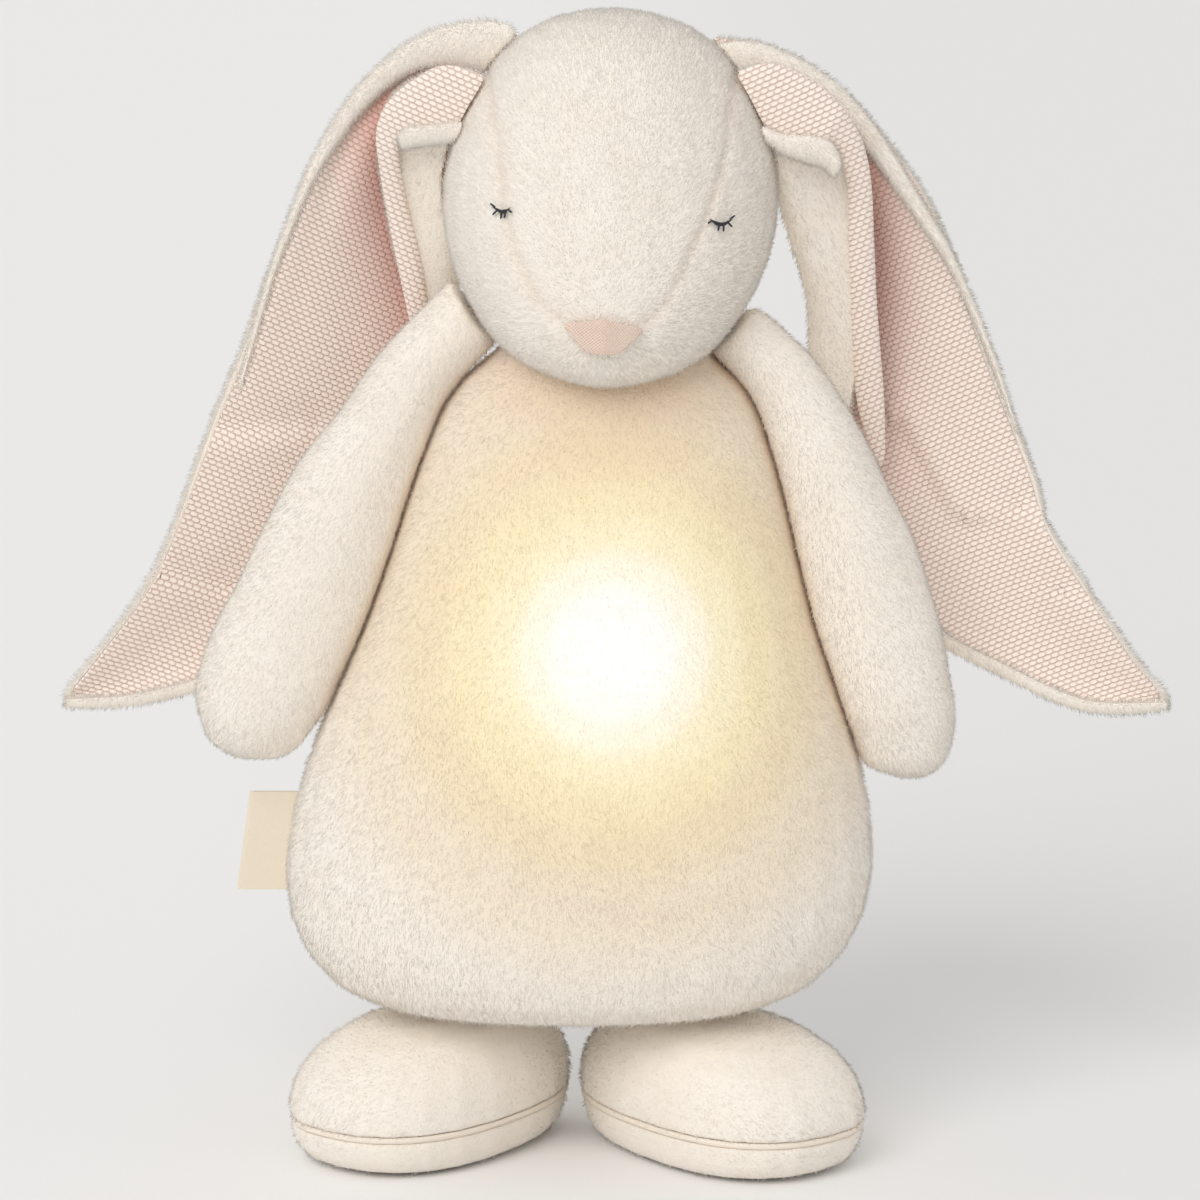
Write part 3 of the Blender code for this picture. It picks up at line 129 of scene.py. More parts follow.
camera_data = bpy.data.cameras.new("camera")
camera_data.sensor_width = SENSOR_WIDTH
camera_data.lens = SENSOR_WIDTH * CAMERA_DISTANCE / PICTURE_WIDTH
camera_data.clip_end = 100
camera = linked("camera", camera_data)
camera.location = (
    CAMERA_TARGET[0],
    CAMERA_TARGET[1] - math.cos(CAMERA_RISE) * CAMERA_DISTANCE,
    CAMERA_TARGET[2] + math.sin(CAMERA_RISE) * CAMERA_DISTANCE,
)
camera.rotation_euler = (math.radians(90) - CAMERA_RISE, 0, 0)
bpy.context.scene.camera = camera

sun_data = bpy.data.lights.new("soft_light", "SUN")
sun_data.energy = SUN_STRENGTH
sun_data.angle = SUN_SPREAD
sun_data.color = (1.0, 0.985, 0.965)
sun = linked("soft_light", sun_data)
sun.rotation_euler = SUN_TURN

room = bpy.data.worlds.new("room")
room.use_nodes = True
fill(room.node_tree.nodes["Background"], Color=(1.0, 0.992, 0.98, 1.0), Strength=ROOM_STRENGTH)
bpy.context.scene.world = room
bpy.context.scene.view_settings.view_transform = "Standard"

# Painted light: the paper is painted a little lighter on the left, the side the light comes from
paper, shader = fresh_material("paper", srgb(240, 240, 241), 0.85, Specular_IOR_Level=0.1)
tree = paper.node_tree
across = shader_node(tree, "SeparateXYZ", shader_node(tree, "TexCoord", out="Object"))
ramp = shader_node(tree, "MapRange", across, From_Min=-0.15, From_Max=0.22)
fill(shader, Base_Color=mixed(tree, ramp, srgb(247, 247, 247), srgb(240, 240, 240)))
floor_mesh = bpy.data.meshes.new("floor")
half = FLOOR_SIZE / 2
floor_mesh.from_pydata([(-half, -half, 0), (half, -half, 0), (half, half, 0), (-half, half, 0)], [], [(0, 1, 2, 3)])
floor_mesh.materials.append(paper)
floor = linked("floor", floor_mesh)

# The light module
# A round white moulded housing with a milky dome, a board with lamps, three cells behind a door and
# two rubber buttons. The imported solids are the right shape, so they stay and get their finishes.

CLOTH_OUT = {"Colour": "Color", "Height": "Float"}


def tree_group(name, inputs, outputs=CLOTH_OUT):
    """An empty shader group with named sockets of these kinds, with what it is given and its output node."""
    group = bpy.data.node_groups.new(name, "ShaderNodeTree")
    for in_out, sockets in (("INPUT", inputs), ("OUTPUT", outputs)):
        for label, kind in sockets.items():
            group.interface.new_socket(name=label, in_out=in_out, socket_type="NodeSocket" + kind)
    return group, group.nodes.new("NodeGroupInput").outputs, group.nodes.new("NodeGroupOutput")


def math_of(tree, operation, *values, **settings):
    """Arithmetic on one or two values."""
    return shader_node(tree, "Math", *values, operation=operation, **settings)


def make_grain_group():
    """Fine grain: noise at a given scale moves a colour a little lighter and darker and gives a height."""
    group, given, out = tree_group("grain", {"Colour": "Color", "Scale": "Float", "Amount": "Float"})
    here = shader_node(group, "TexCoord", out="Object")
    noise = shader_node(group, "TexNoise", Vector=here, Scale=given["Scale"], Detail=3.0)
    level = shader_node(group, "MapRange", noise, To_Min=-1.0, To_Max=1.0)
    value = math_of(group, "ADD", math_of(group, "MULTIPLY", level, given["Amount"]), 1.0)
    fill(out, Colour=shader_node(group, "HueSaturation", Color=given["Colour"], Value=value), Height=noise)
    return group


grain_group = make_grain_group()


def cover(shader, group, relief, strength=1.0, **values):
    """Give a shader the colour of a shader group, and the group's height as a relief in metres."""
    colour = shader_node(shader.id_data, "Group", node_tree=group, **values)
    height = colour.node.outputs["Height"]
    bump = shader_node(shader.id_data, "Bump", Height=height, Distance=relief, Strength=strength)
    fill(shader, Base_Color=colour, Normal=bump)
    return colour


def grained(name, colour, roughness, scale, amount, relief, metallic=0.0):
    """A moulded or metal finish: its colour with fine grain, and the same grain as a slight relief in mm."""
    made, shader = fresh_material(name, colour, roughness, Metallic=metallic)
    cover(shader, grain_group, relief * MM, Colour=colour, Scale=scale, Amount=amount)
    return made


BUTTONS = ("power_button", "brightness_button", "power_switch", "brightness_switch")
STEEL = ("housing_screw", "door_screw", "battery_spring", "contact_plate_left", "contact_plate_right")
# A finish and its slot, the nodes that have it, without their numbers, and its look: colour, roughness, the
# grain's scale, amount and relief in mm, and how metallic it is
MODULE_FINISHES = (
    ("white_plastic", "white_plastic", ("rear_housing", "front_housing", "battery_door"),
     (240, 240, 236), 0.42, 1800, 0.015, 0.04, 0.0),
    ("milky_plastic", "milky_plastic", ("light_diffuser",), (246, 240, 226), 0.38, 900, 0.01, 0.03, 0.0),
    ("reflector", "reflector_white", ("reflector",), (244, 244, 242), 0.2, 1200, 0.01, 0.02, 0.0),
    ("board", "board", ("circuit_board",), (30, 104, 58), 0.45, 700, 0.25, 0.05, 0.0),
    ("led", "led", ("led",), (250, 224, 150), 0.3, 2500, 0.06, 0.02, 0.0),
    ("dark_rubber", "dark_rubber", BUTTONS, (78, 78, 82), 0.65, 2600, 0.06, 0.05, 0.0),
    ("steel", "steel", STEEL, (188, 188, 190), 0.3, 3200, 0.08, 0.02, 1.0),
    ("cell", "cell", ("battery",), (92, 98, 104), 0.32, 1500, 0.08, 0.02, 0.0),
    ("wire_red", "wire_red", ("battery_wire_red",), (176, 34, 28), 0.4, 1500, 0.05, 0.03, 0.0),
    ("wire_black", "wire_black", ("battery_wire_black",), (34, 34, 36), 0.4, 1500, 0.05, 0.03, 0.0),
)
for finish, slot_name, kinds, colour, *values in MODULE_FINISHES:
    look = grained(finish + "_finish", srgb(*colour), *values)
    if finish == "milky_plastic":
        fill(look.node_tree.nodes["Principled BSDF"], Subsurface_Weight=0.4, Subsurface_Scale=0.004)
    for name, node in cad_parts.items():
        if name.rstrip("_0123456789") in kinds:
            for place in node.material_slots:
                place.link = "OBJECT"
                place.material = look

# The body
# A pear-shaped bag of short cream plush, stuffed tight, with a round pocket sewn into its back. The
# lamp behind the belly shines through the cloth: white in the middle, then pale yellow, then amber,
# painted on the cloth as light that it gives off and a tint on its colour.

GLOW_CENTRE = (-0.4 * MM, -47 * MM, 148.5 * MM)
GLOW_REACH = 100 * MM
PLUSH_PALE = srgb(250, 243, 233)
PLUSH_ROOT = srgb(241, 227, 210)
# The colour of painted shade along seams and creases and where pieces lie against each other
PAINTED_SEAM_SHADE = srgb(218, 184, 150)
# Distance from the lamp's middle as a share of its reach, what the cloth lets through as a painted tint on
# its colour (painted light, and painted shade in a darker ring at about half the reach), and its own
# light, which is painted light
GLOW_STEPS = (
    (0.00, (1.00, 1.00, 1.00), (0.20, 0.23, 0.30)),
    (0.15, (1.00, 1.00, 0.98), (0.19, 0.21, 0.24)),
    (0.24, (1.00, 1.00, 0.92), (0.14, 0.14, 0.11)),
    (0.32, (1.00, 0.98, 0.80), (0.09, 0.07, 0.02)),
    (0.42, (1.00, 0.945, 0.71), (0.045, 0.025, 0.0)),
    (0.54, (0.96, 0.88, 0.69), (0.015, 0.004, 0.0)),
    (0.70, (0.965, 0.905, 0.80), (0.0, 0.0, 0.0)),
    (0.98, (1.00, 1.00, 1.00), (0.0, 0.0, 0.0)),
)


def make_glow_group():
    """The lamp seen through cloth, as painted light: two ramps over the distance from its middle give a tint
    painted on the cloth's colour and a light that the cloth gives off.
    """
    group, _, out = tree_group("glow", {}, {"Tint": "Color", "Light": "Color"})
    here = shader_node(group, "TexCoord", out="Object")
    away = shader_node(group, "VectorMath", here, GLOW_CENTRE, operation="DISTANCE", out="Value")
    share = math_of(group, "DIVIDE", away, GLOW_REACH)
    for column, label in ((1, "Tint"), (2, "Light")):
        colour = shader_node(group, "ValToRGB", share)
        ramp = colour.node.color_ramp
        ramp.interpolation = "EASE"
        while len(ramp.elements) < len(GLOW_STEPS):
            ramp.elements.new(0.5)
        for stop, row in zip(ramp.elements, GLOW_STEPS):
            stop.position = row[0]
            stop.color = (*row[column], 1.0)
        fill(out, **{label: colour})
    return group


def make_plush_group():
    """Short pile: soft mottling from the way it lies, darker at the roots, painted shade along seams and
    creases, and a fibre relief."""
    group, given, out = tree_group("plush", {"Pale": "Color", "Root": "Color", "Seam": "Color"})
    here = shader_node(group, "TexCoord", out="Object")
    soft = shader_node(group, "TexNoise", Vector=here, Scale=95.0, Detail=4.0, Roughness=0.6)
    fine = shader_node(group, "TexNoise", Vector=here, Scale=1500.0, Detail=2.0)
    fibre = shader_node(group, "Attribute", attribute_name="fibre", out="Fac")
    seam = shader_node(group, "Attribute", attribute_name="seam", out="Fac")
    lift = shader_node(group, "MapRange", soft, From_Min=0.3, From_Max=0.7, To_Min=-0.16, To_Max=0.16)
    body = mixed(group, math_of(group, "ADD", fibre, lift, use_clamp=True), given["Root"], given["Pale"])
    # The seam value mixes in painted shade
    fill(out, Colour=mixed(group, seam, body, given["Seam"]), Height=fine)
    return group


glow_group = make_glow_group()
plush_group = make_plush_group()


def plush_material(name, glowing=False, strands=False):
    """Plush: the plush group's colour; on the body the lamp's light is painted on as a tint and as light
    that the cloth gives off. Strands lean their normal towards the skin's own where both face the same way,
    so that the pile shades as one soft surface."""
    made, shader = fresh_material(
        name, PLUSH_PALE, 0.92, Sheen_Weight=0.18, Sheen_Roughness=0.6, Specular_IOR_Level=0.2
    )
    tree = made.node_tree
    colour = shader_node(tree, "Group", node_tree=plush_group, Pale=PLUSH_PALE, Root=PLUSH_ROOT, Seam=PAINTED_SEAM_SHADE)
    if strands:
        lie = shader_node(tree, "Attribute", attribute_name="nap", out="Vector")
        turned = shader_node(
            tree, "VectorTransform", lie, vector_type="NORMAL", convert_from="OBJECT", convert_to="WORLD"
        )
        own = shader_node(tree, "NewGeometry", out="Normal")
        facing = shader_node(tree, "VectorMath", turned, own, operation="DOT_PRODUCT", out="Value")
        trust = shader_node(tree, "MapRange", facing, From_Min=-0.4, From_Max=0.5, To_Max=2.2)
        lying = shader_node(tree, "VectorMath", turned, Scale=trust, operation="SCALE")
        both = shader_node(tree, "VectorMath", lying, own, operation="ADD")
        normal = shader_node(tree, "VectorMath", both, operation="NORMALIZE")
    else:
        height = colour.node.outputs["Height"]
        normal = shader_node(tree, "Bump", Height=height, Distance=0.0008, Strength=0.5)
    # Painted light: the lamp behind the belly is painted on the cloth as a tint and as light given off
    if glowing:
        painted_lamp_tint = shader_node(tree, "Group", node_tree=glow_group)
        colour = mixed(tree, 1.0, colour, painted_lamp_tint, blend_type="MULTIPLY")
        fill(shader, Emission_Color=painted_lamp_tint.node.outputs["Light"], Emission_Strength=1.0)
    fill(shader, Base_Color=colour, Normal=normal)
    return made


plush_skin = plush_material("cream_plush_skin")
plush_pile = plush_material("cream_plush_pile", strands=True)
belly_skin = plush_material("cream_plush_belly", glowing=True)
belly_pile = plush_material("cream_plush_belly_pile", glowing=True, strands=True)


def vertex_arrays(mesh):
    """A mesh's points and their normals, as two arrays."""
    points, normals = np.empty((2, len(mesh.vertices) * 3), np.float32)
    mesh.vertices.foreach_get("co", points)
    mesh.vertices.foreach_get("normal", normals)
    return points.reshape(-1, 3).astype(float), normals.reshape(-1, 3).astype(float)


def set_points(mesh, points):
    """Move a mesh's points."""
    mesh.vertices.foreach_set("co", np.ascontiguousarray(points, np.float32).ravel())
    mesh.update()


def set_values(mesh, name, values):
    """Store one value or vector at each point of a mesh under a name that materials read."""
    kind, field = ("FLOAT", "value") if values.ndim == 1 else ("FLOAT_VECTOR", "vector")
    made = mesh.attributes.new(name, kind, "POINT")
    made.data.foreach_set(field, np.ascontiguousarray(values, np.float32).ravel())


def point_values(mesh, name):
    """The values stored at a mesh's points under a name."""
    values = np.empty(len(mesh.vertices), np.float32)
    mesh.attributes[name].data.foreach_get("value", values)
    return values


def settle(obj):
    """Apply an object's modifiers to its mesh."""
    mesh = bpy.data.meshes.new_from_object(obj.evaluated_get(bpy.context.evaluated_depsgraph_get()))
    obj.modifiers.clear()
    obj.data = mesh
    return obj


def evened(obj, voxel, rounds):
    """Remesh a form in even small faces and smooth it in rounds."""
    remesh = obj.modifiers.new("faces", "REMESH")
    remesh.mode = "VOXEL"
    remesh.voxel_size = voxel
    even = obj.modifiers.new("evening", "SMOOTH")
    even.factor = 0.5
    even.iterations = rounds
    settle(obj)
    obj.data.shade_smooth()
    return obj


def merged_copy(name, node):
    """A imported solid's own shape with its doubled points merged."""
    bm = bmesh.new()
    bm.from_mesh(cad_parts[node].data)
    bmesh.ops.remove_doubles(bm, verts=bm.verts, dist=0.01 * MM)
    mesh = bpy.data.meshes.new(name)
    bm.to_mesh(mesh)
    bm.free()
    mesh.materials.clear()
    return linked(name, mesh)


def soft_copy(name, node, voxel, inset, rounds):
    """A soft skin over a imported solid: evened out, and drawn in along its normals by the inset, which leaves
    room for the pile."""
    obj = evened(merged_copy(name, node), voxel, rounds)
    points, normals = vertex_arrays(obj.data)
    set_points(obj.data, points - normals * inset)
    return obj


def near_line(points, line):
    """How far each point is from a line of straight steps: the least distance to any of its steps."""
    start, end = line[:-1], line[1:]
    step = end - start
    along = np.einsum("psk,sk->ps", points[:, None] - start, step) / (step**2).sum(1)
    nearest = start + np.clip(along, 0, 1)[..., None] * step
    return np.sqrt(((points[:, None] - nearest) ** 2).sum(2)).min(1)


def unit(vectors, least=1e-12):
    """Vectors at length 1."""
    return vectors / (np.linalg.norm(vectors, axis=-1, keepdims=True) + least)


PILE_WIDTH = 0.36 * MM
# A strand's fibre value at the three points of its root and at its tip
STRAND_TONES = np.array([0.72, 0.72, 0.72, 0.98])
STRAND_FACES = np.array(((0, 2, 1), (0, 1, 3), (1, 2, 3), (2, 0, 3)))


def pile(name, base, body, count, length, flow, seed, lean=0.66, wanted=None, look=plush_pile, mask=None):
    """Pile on a skin: each strand is a thin closed three-sided spike. Its root is a random point of a random
    face, chosen by area; it leans from the skin's normal towards the flow, both a little at random. wanted
    picks faces by place and normal, and mask by their outside value. A pile without a body is not attached."""
    mesh = base.data
    mesh.calc_loop_triangles()
    corners = np.empty(len(mesh.loop_triangles) * 3, np.int32)
    mesh.loop_triangles.foreach_get("vertices", corners)
    corners = corners.reshape(-1, 3)
    points, normals = vertex_arrays(mesh)
    a, b, c = (points[corners[:, k]] for k in range(3))
    area = np.linalg.norm(np.cross(b - a, c - a), axis=1)
    if wanted is not None:
        area = area * wanted((a + b + c) / 3, normals[corners].mean(1))
    if mask is not None:
        marked = point_values(mesh, "outside")[corners].mean(1)
        area = area * ((marked > mask[0]) & (marked < mask[1]))
    rng = np.random.default_rng(seed)
    chosen = np.searchsorted(np.cumsum(area) / area.sum(), rng.random(count))
    share = rng.random((count, 2))
    share = np.where(share.sum(1, keepdims=True) > 1, 1 - share, share)
    weights = np.column_stack((1 - share.sum(1), share))
    root = np.einsum("nk,nkc->nc", weights, points[corners[chosen]])
    normal = unit(np.einsum("nk,nkc->nc", weights, normals[corners[chosen]]))
    drift = flow(root)
    drift = unit(drift - normal * (drift * normal).sum(1, keepdims=True), 1e-9)
    stray = rng.normal(0, 0.17, (count, 3))
    way = unit(normal * (1 - lean) + drift * lean + stray, 0)
    side = unit(np.cross(way, normal + drift * 0.1), 1e-9)
    third = np.cross(way, side)
    sized = length * rng.uniform(0.7, 1.15, (count, 1))
    broad = PILE_WIDTH / 2 * rng.uniform(0.75, 1.25, (count, 1))
    low = root - normal * 0.25 * MM
    turns = (0.0, math.tau / 3, 2 * math.tau / 3)
    ring = [low + broad * (math.cos(turn) * side + 0.5 * math.sin(turn) * third) for turn in turns]
    verts = np.stack((*ring, root + way * sized), axis=1).reshape(-1, 3)
    verts[:, 2] = np.maximum(verts[:, 2], 0.05 * MM)
    faces = (STRAND_FACES[None] + 4 * np.arange(count)[:, None, None]).reshape(-1)
    made = bpy.data.meshes.new(name)
    made.vertices.add(len(verts))
    made.vertices.foreach_set("co", verts.astype(np.float32).ravel())
    made.loops.add(len(faces))
    made.loops.foreach_set("vertex_index", faces.astype(np.int32))
    made.polygons.add(len(faces) // 3)
    made.polygons.foreach_set("loop_start", np.arange(0, len(faces), 3, dtype=np.int32))
    made.update(calc_edges=True)
    made.shade_smooth()
    shading = unit(normal + rng.normal(0, 0.06, (count, 3)), 0)
    set_values(made, "nap", np.repeat(shading, 4, axis=0))
    tone = rng.uniform(-0.1, 0.1, (count, 1))
    set_values(made, "fibre", (STRAND_TONES + tone).reshape(-1))
    # The strands take on the skin's painted shade at their roots
    at_root = (weights * point_values(mesh, "seam")[corners[chosen]]).sum(1)
    set_values(made, "seam", np.repeat(at_root * 0.8, 4))
    made.materials.append(look)
    nap = linked(name, made)
    nap.visible_shadow = False
    nap.visible_diffuse = False
    if body:
        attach(nap, body)
    return nap


def dress(piece, look, body, slot_name, *replaced, seam=None):
    """Finish a piece: its material, the body that it rides on and the solids it stands for; slot_name is not
    used. A piece that crosses a joint has no body here. seam is how much painted shade the plush is given,
    as at a seam, as one value or at each point."""
    # The seam value is painted shade along seams and creases
    if seam is not None:
        count = len(piece.data.vertices)
        set_values(piece.data, "fibre", np.full(count, 0.8))
        set_values(piece.data, "seam", np.zeros(count) + seam)
    piece.data.materials.append(look)
    if body:
        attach(piece, body)
    if replaced:
        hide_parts(*replaced)
    return piece


def downwards(points):
    """Pile that lies downwards and a little to one side, as it was brushed."""
    wave = 0.25 * np.sin(points[:, 2] * 90 + points[:, 0] * 60)
    return np.column_stack((wave, np.zeros(len(points)), -np.ones(len(points))))


def beside(points, reach, *names):
    """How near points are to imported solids: 1 on them, falling away over the reach."""
    least = np.full(len(points), 1.0)
    for name in names:
        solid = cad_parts[name].data
        faces = [tuple(face.vertices) for face in solid.polygons]
        tree = BVHTree.FromPolygons([vertex.co for vertex in solid.vertices], faces)
        least = np.minimum(least, [tree.find_nearest(point)[3] for point in points.tolist()])
    return np.exp(-((least / reach) ** 2))


MODULE_X = -0.75 * MM
MODULE_Z = 150 * MM
# How far painted shade reaches from where plush pieces lie against each other
SHADE_REACH = 2.4 * MM

torso = soft_copy("torso_skin", "torso", 2.2 * MM, 0.7 * MM, 6)
points, _ = vertex_arrays(torso.data)
# Painted shade on the torso: darker where the arms and feet lie against it and under the head
tone_mix = 0.7 * beside(points, SHADE_REACH, "arm_left", "arm_right")
tone_mix = tone_mix + 0.3 * beside(points, SHADE_REACH, "foot_left", "foot_right")
tone_mix = np.clip(tone_mix + 0.4 * beside(points, 16 * MM, "head"), 0, 0.8)
dress(torso, belly_skin, "torso", "cream_plush", "torso", seam=tone_mix)


def outside_pocket(points, normals):
    """Faces of the outer skin: not the wall or the floor of the pocket, which lie inside its round outline."""
    reach = np.hypot(points[:, 0] - MODULE_X, points[:, 2] - MODULE_Z)
    return ~((reach < 40.6 * MM) & (points[:, 1] > -36 * MM) & (normals[:, 1] > -0.3))


for index, (front, count) in enumerate(((True, 38000), (True, 33000), (False, 24000))):
    def outer_half(points, normals, front=front):
        """The outer skin's front or back."""
        return outside_pocket(points, normals) & ((normals[:, 1] < 0) == front)

    name = "torso_pile_%d" % (index + 1)
    pile(name, torso, "torso", count, 1.9 * MM, downwards, 11 + index, wanted=outer_half, look=belly_pile)

# The pocket and its closure
# A cloth sleeve holds the module. Two plush lips meet over it in the back, and hook and loop tape
# on a placket behind them keeps them shut.


def make_weave_group():
    """Plain weave: two square waves across each other on Object coordinates give threads over and under."""
    group, given, out = tree_group("weave", {"Light": "Color", "Dark": "Color", "Pitch": "Float"})
    here = shader_node(group, "TexCoord", out="Object")
    scaled = shader_node(group, "VectorMath", here, given["Pitch"], operation="DIVIDE")
    parts = shader_node(group, "SeparateXYZ", scaled).node.outputs
    over = math_of(group, "SINE", math_of(group, "ADD", parts["X"], parts["Y"]))
    cross = math_of(group, "MULTIPLY", over, math_of(group, "SINE", parts["Z"]))
    level = shader_node(group, "MapRange", cross, From_Min=-1.0, From_Max=1.0)
    fill(out, Colour=mixed(group, level, given["Dark"], given["Light"]), Height=level)
    return group


weave_group = make_weave_group()


def woven(name, light, dark, pitch, relief, roughness=0.85):
    """A woven cloth finish, with its threads' pitch and relief in mm."""
    light, dark = srgb(*light), srgb(*dark)
    made, shader = fresh_material(name, light, roughness, Sheen_Weight=0.1)
    cover(shader, weave_group, relief * MM, Light=light, Dark=dark, Pitch=pitch * MM / math.tau)
    return made


def node_copy(name, node, softened):
    """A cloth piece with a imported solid's own shape, whose edges may be rounded by a small bevel."""
    obj = merged_copy(name, node)
    if softened:
        bevel = obj.modifiers.new("edge", "BEVEL")
        bevel.width = softened
        bevel.segments = 2
        bevel.limit_method = "ANGLE"
        bevel.angle_limit = math.radians(50)
        settle(obj)
    obj.data.shade_smooth()
    return obj


def opens(piece):
    """Give a piece of the closure its own copy of its mesh."""
    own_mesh(piece)


pocket_cloth = woven("pocket_cloth_weave", (232, 222, 206), (206, 193, 174), 0.9, 0.2)
liner = node_copy("pocket_sleeve", "pocket_liner", 0)
dress(liner, pocket_cloth, "torso", "pocket_cloth", "pocket_liner")

for side, node in ((-1, "opening_lip_left"), (1, "opening_lip_right")):
    lip = soft_copy(node + "_skin", node, 1.1 * MM, 0.3 * MM, 2)
    points, _ = vertex_arrays(lip.data)
    # Painted shade where the two lips meet over the module
    near = np.exp(-((points[:, 0] - MODULE_X) / (2 * MM)) ** 2)
    dress(lip, plush_skin, "torso", "cream_plush", node, seam=near * 0.6)
    nap = pile(
        node + "_pile", lip, "torso", 9000, 2.3 * MM, downwards, 21 + side,
        wanted=lambda points, normals: normals[:, 1] > 0.45,
    )
    opens(lip)
    opens(nap)

tape_look = woven("hook_and_loop_nap", (236, 230, 214), (198, 190, 172), 0.55, 0.3, 0.8)
for node, look, slot_name in (
    ("opening_placket", pocket_cloth, "pocket_cloth"),
    ("hook_tape", tape_look, "hook_and_loop"),
    ("loop_tape", tape_look, "hook_and_loop"),
):
    strip = node_copy(node + "_cloth", node, 0.15 * MM)
    dress(strip, look, "torso", slot_name, node)
    opens(strip)

# The feet
# Two stuffed ovals of the same plush, splayed outwards, each closed below by a flat sole. The seam
# between upper and sole is a fine warm line about 12 mm above the table.

# A foot's outline, in mm: a rounded rectangle of this power, narrower towards one end
FOOT_WIDTH, FOOT_LENGTH = 59, 94
FOOT_POWER = 2.3
FOOT_TAPER = 0.14
SEAM_HEIGHT = 12.15 * MM
SEAM_STEPS, SEAM_SIDES = 160, 8


def ring_quads(rings, sides, closed=False):
    """Quads between rings of points one after another, and from the last ring to the first if they close."""
    row, col = np.meshgrid(np.arange(rings if closed else rings - 1), np.arange(sides), indexing="ij")
    here, after, beyond = row * sides, (row + 1) % rings * sides, (col + 1) % sides
    return np.stack((here + col, here + beyond, after + beyond, after + col), -1).reshape(-1, 4)


def closed_piece(name, points, faces):
    """A smooth closed piece from points and faces, which are turned outwards."""
    mesh = bpy.data.meshes.new(name)
    mesh.from_pydata(points.reshape(-1, 3).tolist(), [], faces)
    bm = bmesh.new()
    bm.from_mesh(mesh)
    bmesh.ops.recalc_face_normals(bm, faces=bm.faces)
    bm.to_mesh(mesh)
    bm.free()
    mesh.shade_smooth()
    return linked(name, mesh)


seam_cloth = woven("seam_fold", (247, 237, 224), (240, 227, 211), 0.8, 0.1)
for index, (side_name, turn, middle) in enumerate((("left", 40, (-50.25, 1.0)), ("right", -42, (27.65, -5.0)))):
    toe = np.array((-math.sin(math.radians(turn)), -math.cos(math.radians(turn)), -0.25))

    def to_toe(points, toe=toe):
        """Pile that lies towards the toe and a little down."""
        return np.tile(toe, (len(points), 1))

    for part, count, inset in (("foot", 20000, 0.6 * MM), ("sole", 4500, 0.5 * MM)):
        node = part + "_" + side_name
        skin = soft_copy(node + "_skin", node, 1.3 * MM, inset, 4)
        points, normals = vertex_arrays(skin.data)
        # The plush is drawn in a little along the seam, with painted shade along it
        near = np.exp(-(((points[:, 2] - SEAM_HEIGHT) / (0.9 * MM)) ** 2))
        set_points(skin.data, points - normals * near[:, None] * 0.2 * MM)
        dress(skin, plush_skin, "torso", "cream_plush", node, seam=near * 0.5)
        pile(
            node + "_pile", skin, "torso", count, 2.0 * MM, to_toe, 31 + index,
            wanted=lambda points, normals: points[:, 2] > 1.2 * MM,
        )

    # The seam itself, a thread of cloth turned in between upper and sole: the foot's outline drawn in a little
    turned = np.radians(-turn)
    angle = np.linspace(0, math.tau, SEAM_STEPS, endpoint=False)
    square_x, square_y = (np.sign(part) * np.abs(part) ** (2 / FOOT_POWER) for part in (np.cos(angle), np.sin(angle)))
    for_x = square_x * FOOT_WIDTH * MM / 2 * (1 - FOOT_TAPER * square_y) * 0.985 - np.cos(angle) * 1.2 * MM
    for_y = square_y * FOOT_LENGTH * MM / 2 * 0.985 - np.sin(angle) * 1.2 * MM
    outline = np.column_stack((for_x, for_y, np.full(SEAM_STEPS, SEAM_HEIGHT)))
    spin = np.array(((math.cos(turned), math.sin(turned), 0), (-math.sin(turned), math.cos(turned), 0), (0, 0, 1)))
    outline = outline @ spin + np.array((*middle, 0)) * (MM, MM, 1)
    outwards = np.column_stack((np.cos(angle), np.sin(angle), np.zeros(SEAM_STEPS))) @ spin
    around = np.linspace(0, math.tau, SEAM_SIDES, endpoint=False)[None, :, None]
    round_it = np.cos(around) * outwards[:, None] + np.sin(around) * np.array((0.0, 0.0, 1.0))
    rings = outline[:, None] + 0.9 * MM * round_it
    seam = closed_piece("foot_seam_" + side_name, rings, ring_quads(SEAM_STEPS, SEAM_SIDES, closed=True).tolist())
    dress(seam, seam_cloth, "torso", "cream_plush")

# The head
# A stuffed plush ball with a wide centre gusset, so two curved seams run from the ears to the nose.
# The pile lies back from the muzzle. The head sits over the neck and tilts a little to either side.

FIGURE_X = -6.75 * MM


def seen_place(spots, depth):
    """Points of the front, given as they are seen in a 1200 pixel picture, as world x and z at a depth in y."""
    spots = np.array(spots, float)
    x = (spots[:, 0] - 592) / PIXELS_PER_MM * MM + FIGURE_X
    rise = (-7 + (1178 - spots[:, 1]) / PIXELS_PER_MM) * MM
    z = (rise - depth * math.sin(CAMERA_RISE)) / math.cos(CAMERA_RISE)
    return np.column_stack((x, z))


GUSSETS = (
    ((483, 84), (492, 120), (500, 170), (505, 205), (515, 260), (540, 310), (562, 325)),
    ((738, 93), (728, 130), (724, 165), (718, 190), (712, 210), (700, 240), (680, 280), (665, 310), (645, 328)),
)
GUSSET_DEPTH = -38 * MM
MUZZLE = np.array((-3.5 * MM, -49 * MM, 236 * MM))

head = soft_copy("head_skin", "head", 1.5 * MM, 0.7 * MM, 6)
points, normals = vertex_arrays(head.data)
near = np.minimum(*(near_line(points[:, (0, 2)], seen_place(line, GUSSET_DEPTH)) for line in GUSSETS))
# The gusset seams are dented, with painted shade along them
groove = np.exp(-((near / (1.5 * MM)) ** 2)) * (points[:, 1] < 10 * MM)
set_points(head.data, points - normals * groove[:, None] * 0.7 * MM)
dress(head, plush_skin, "head", "cream_plush", "head", seam=groove * 0.17)


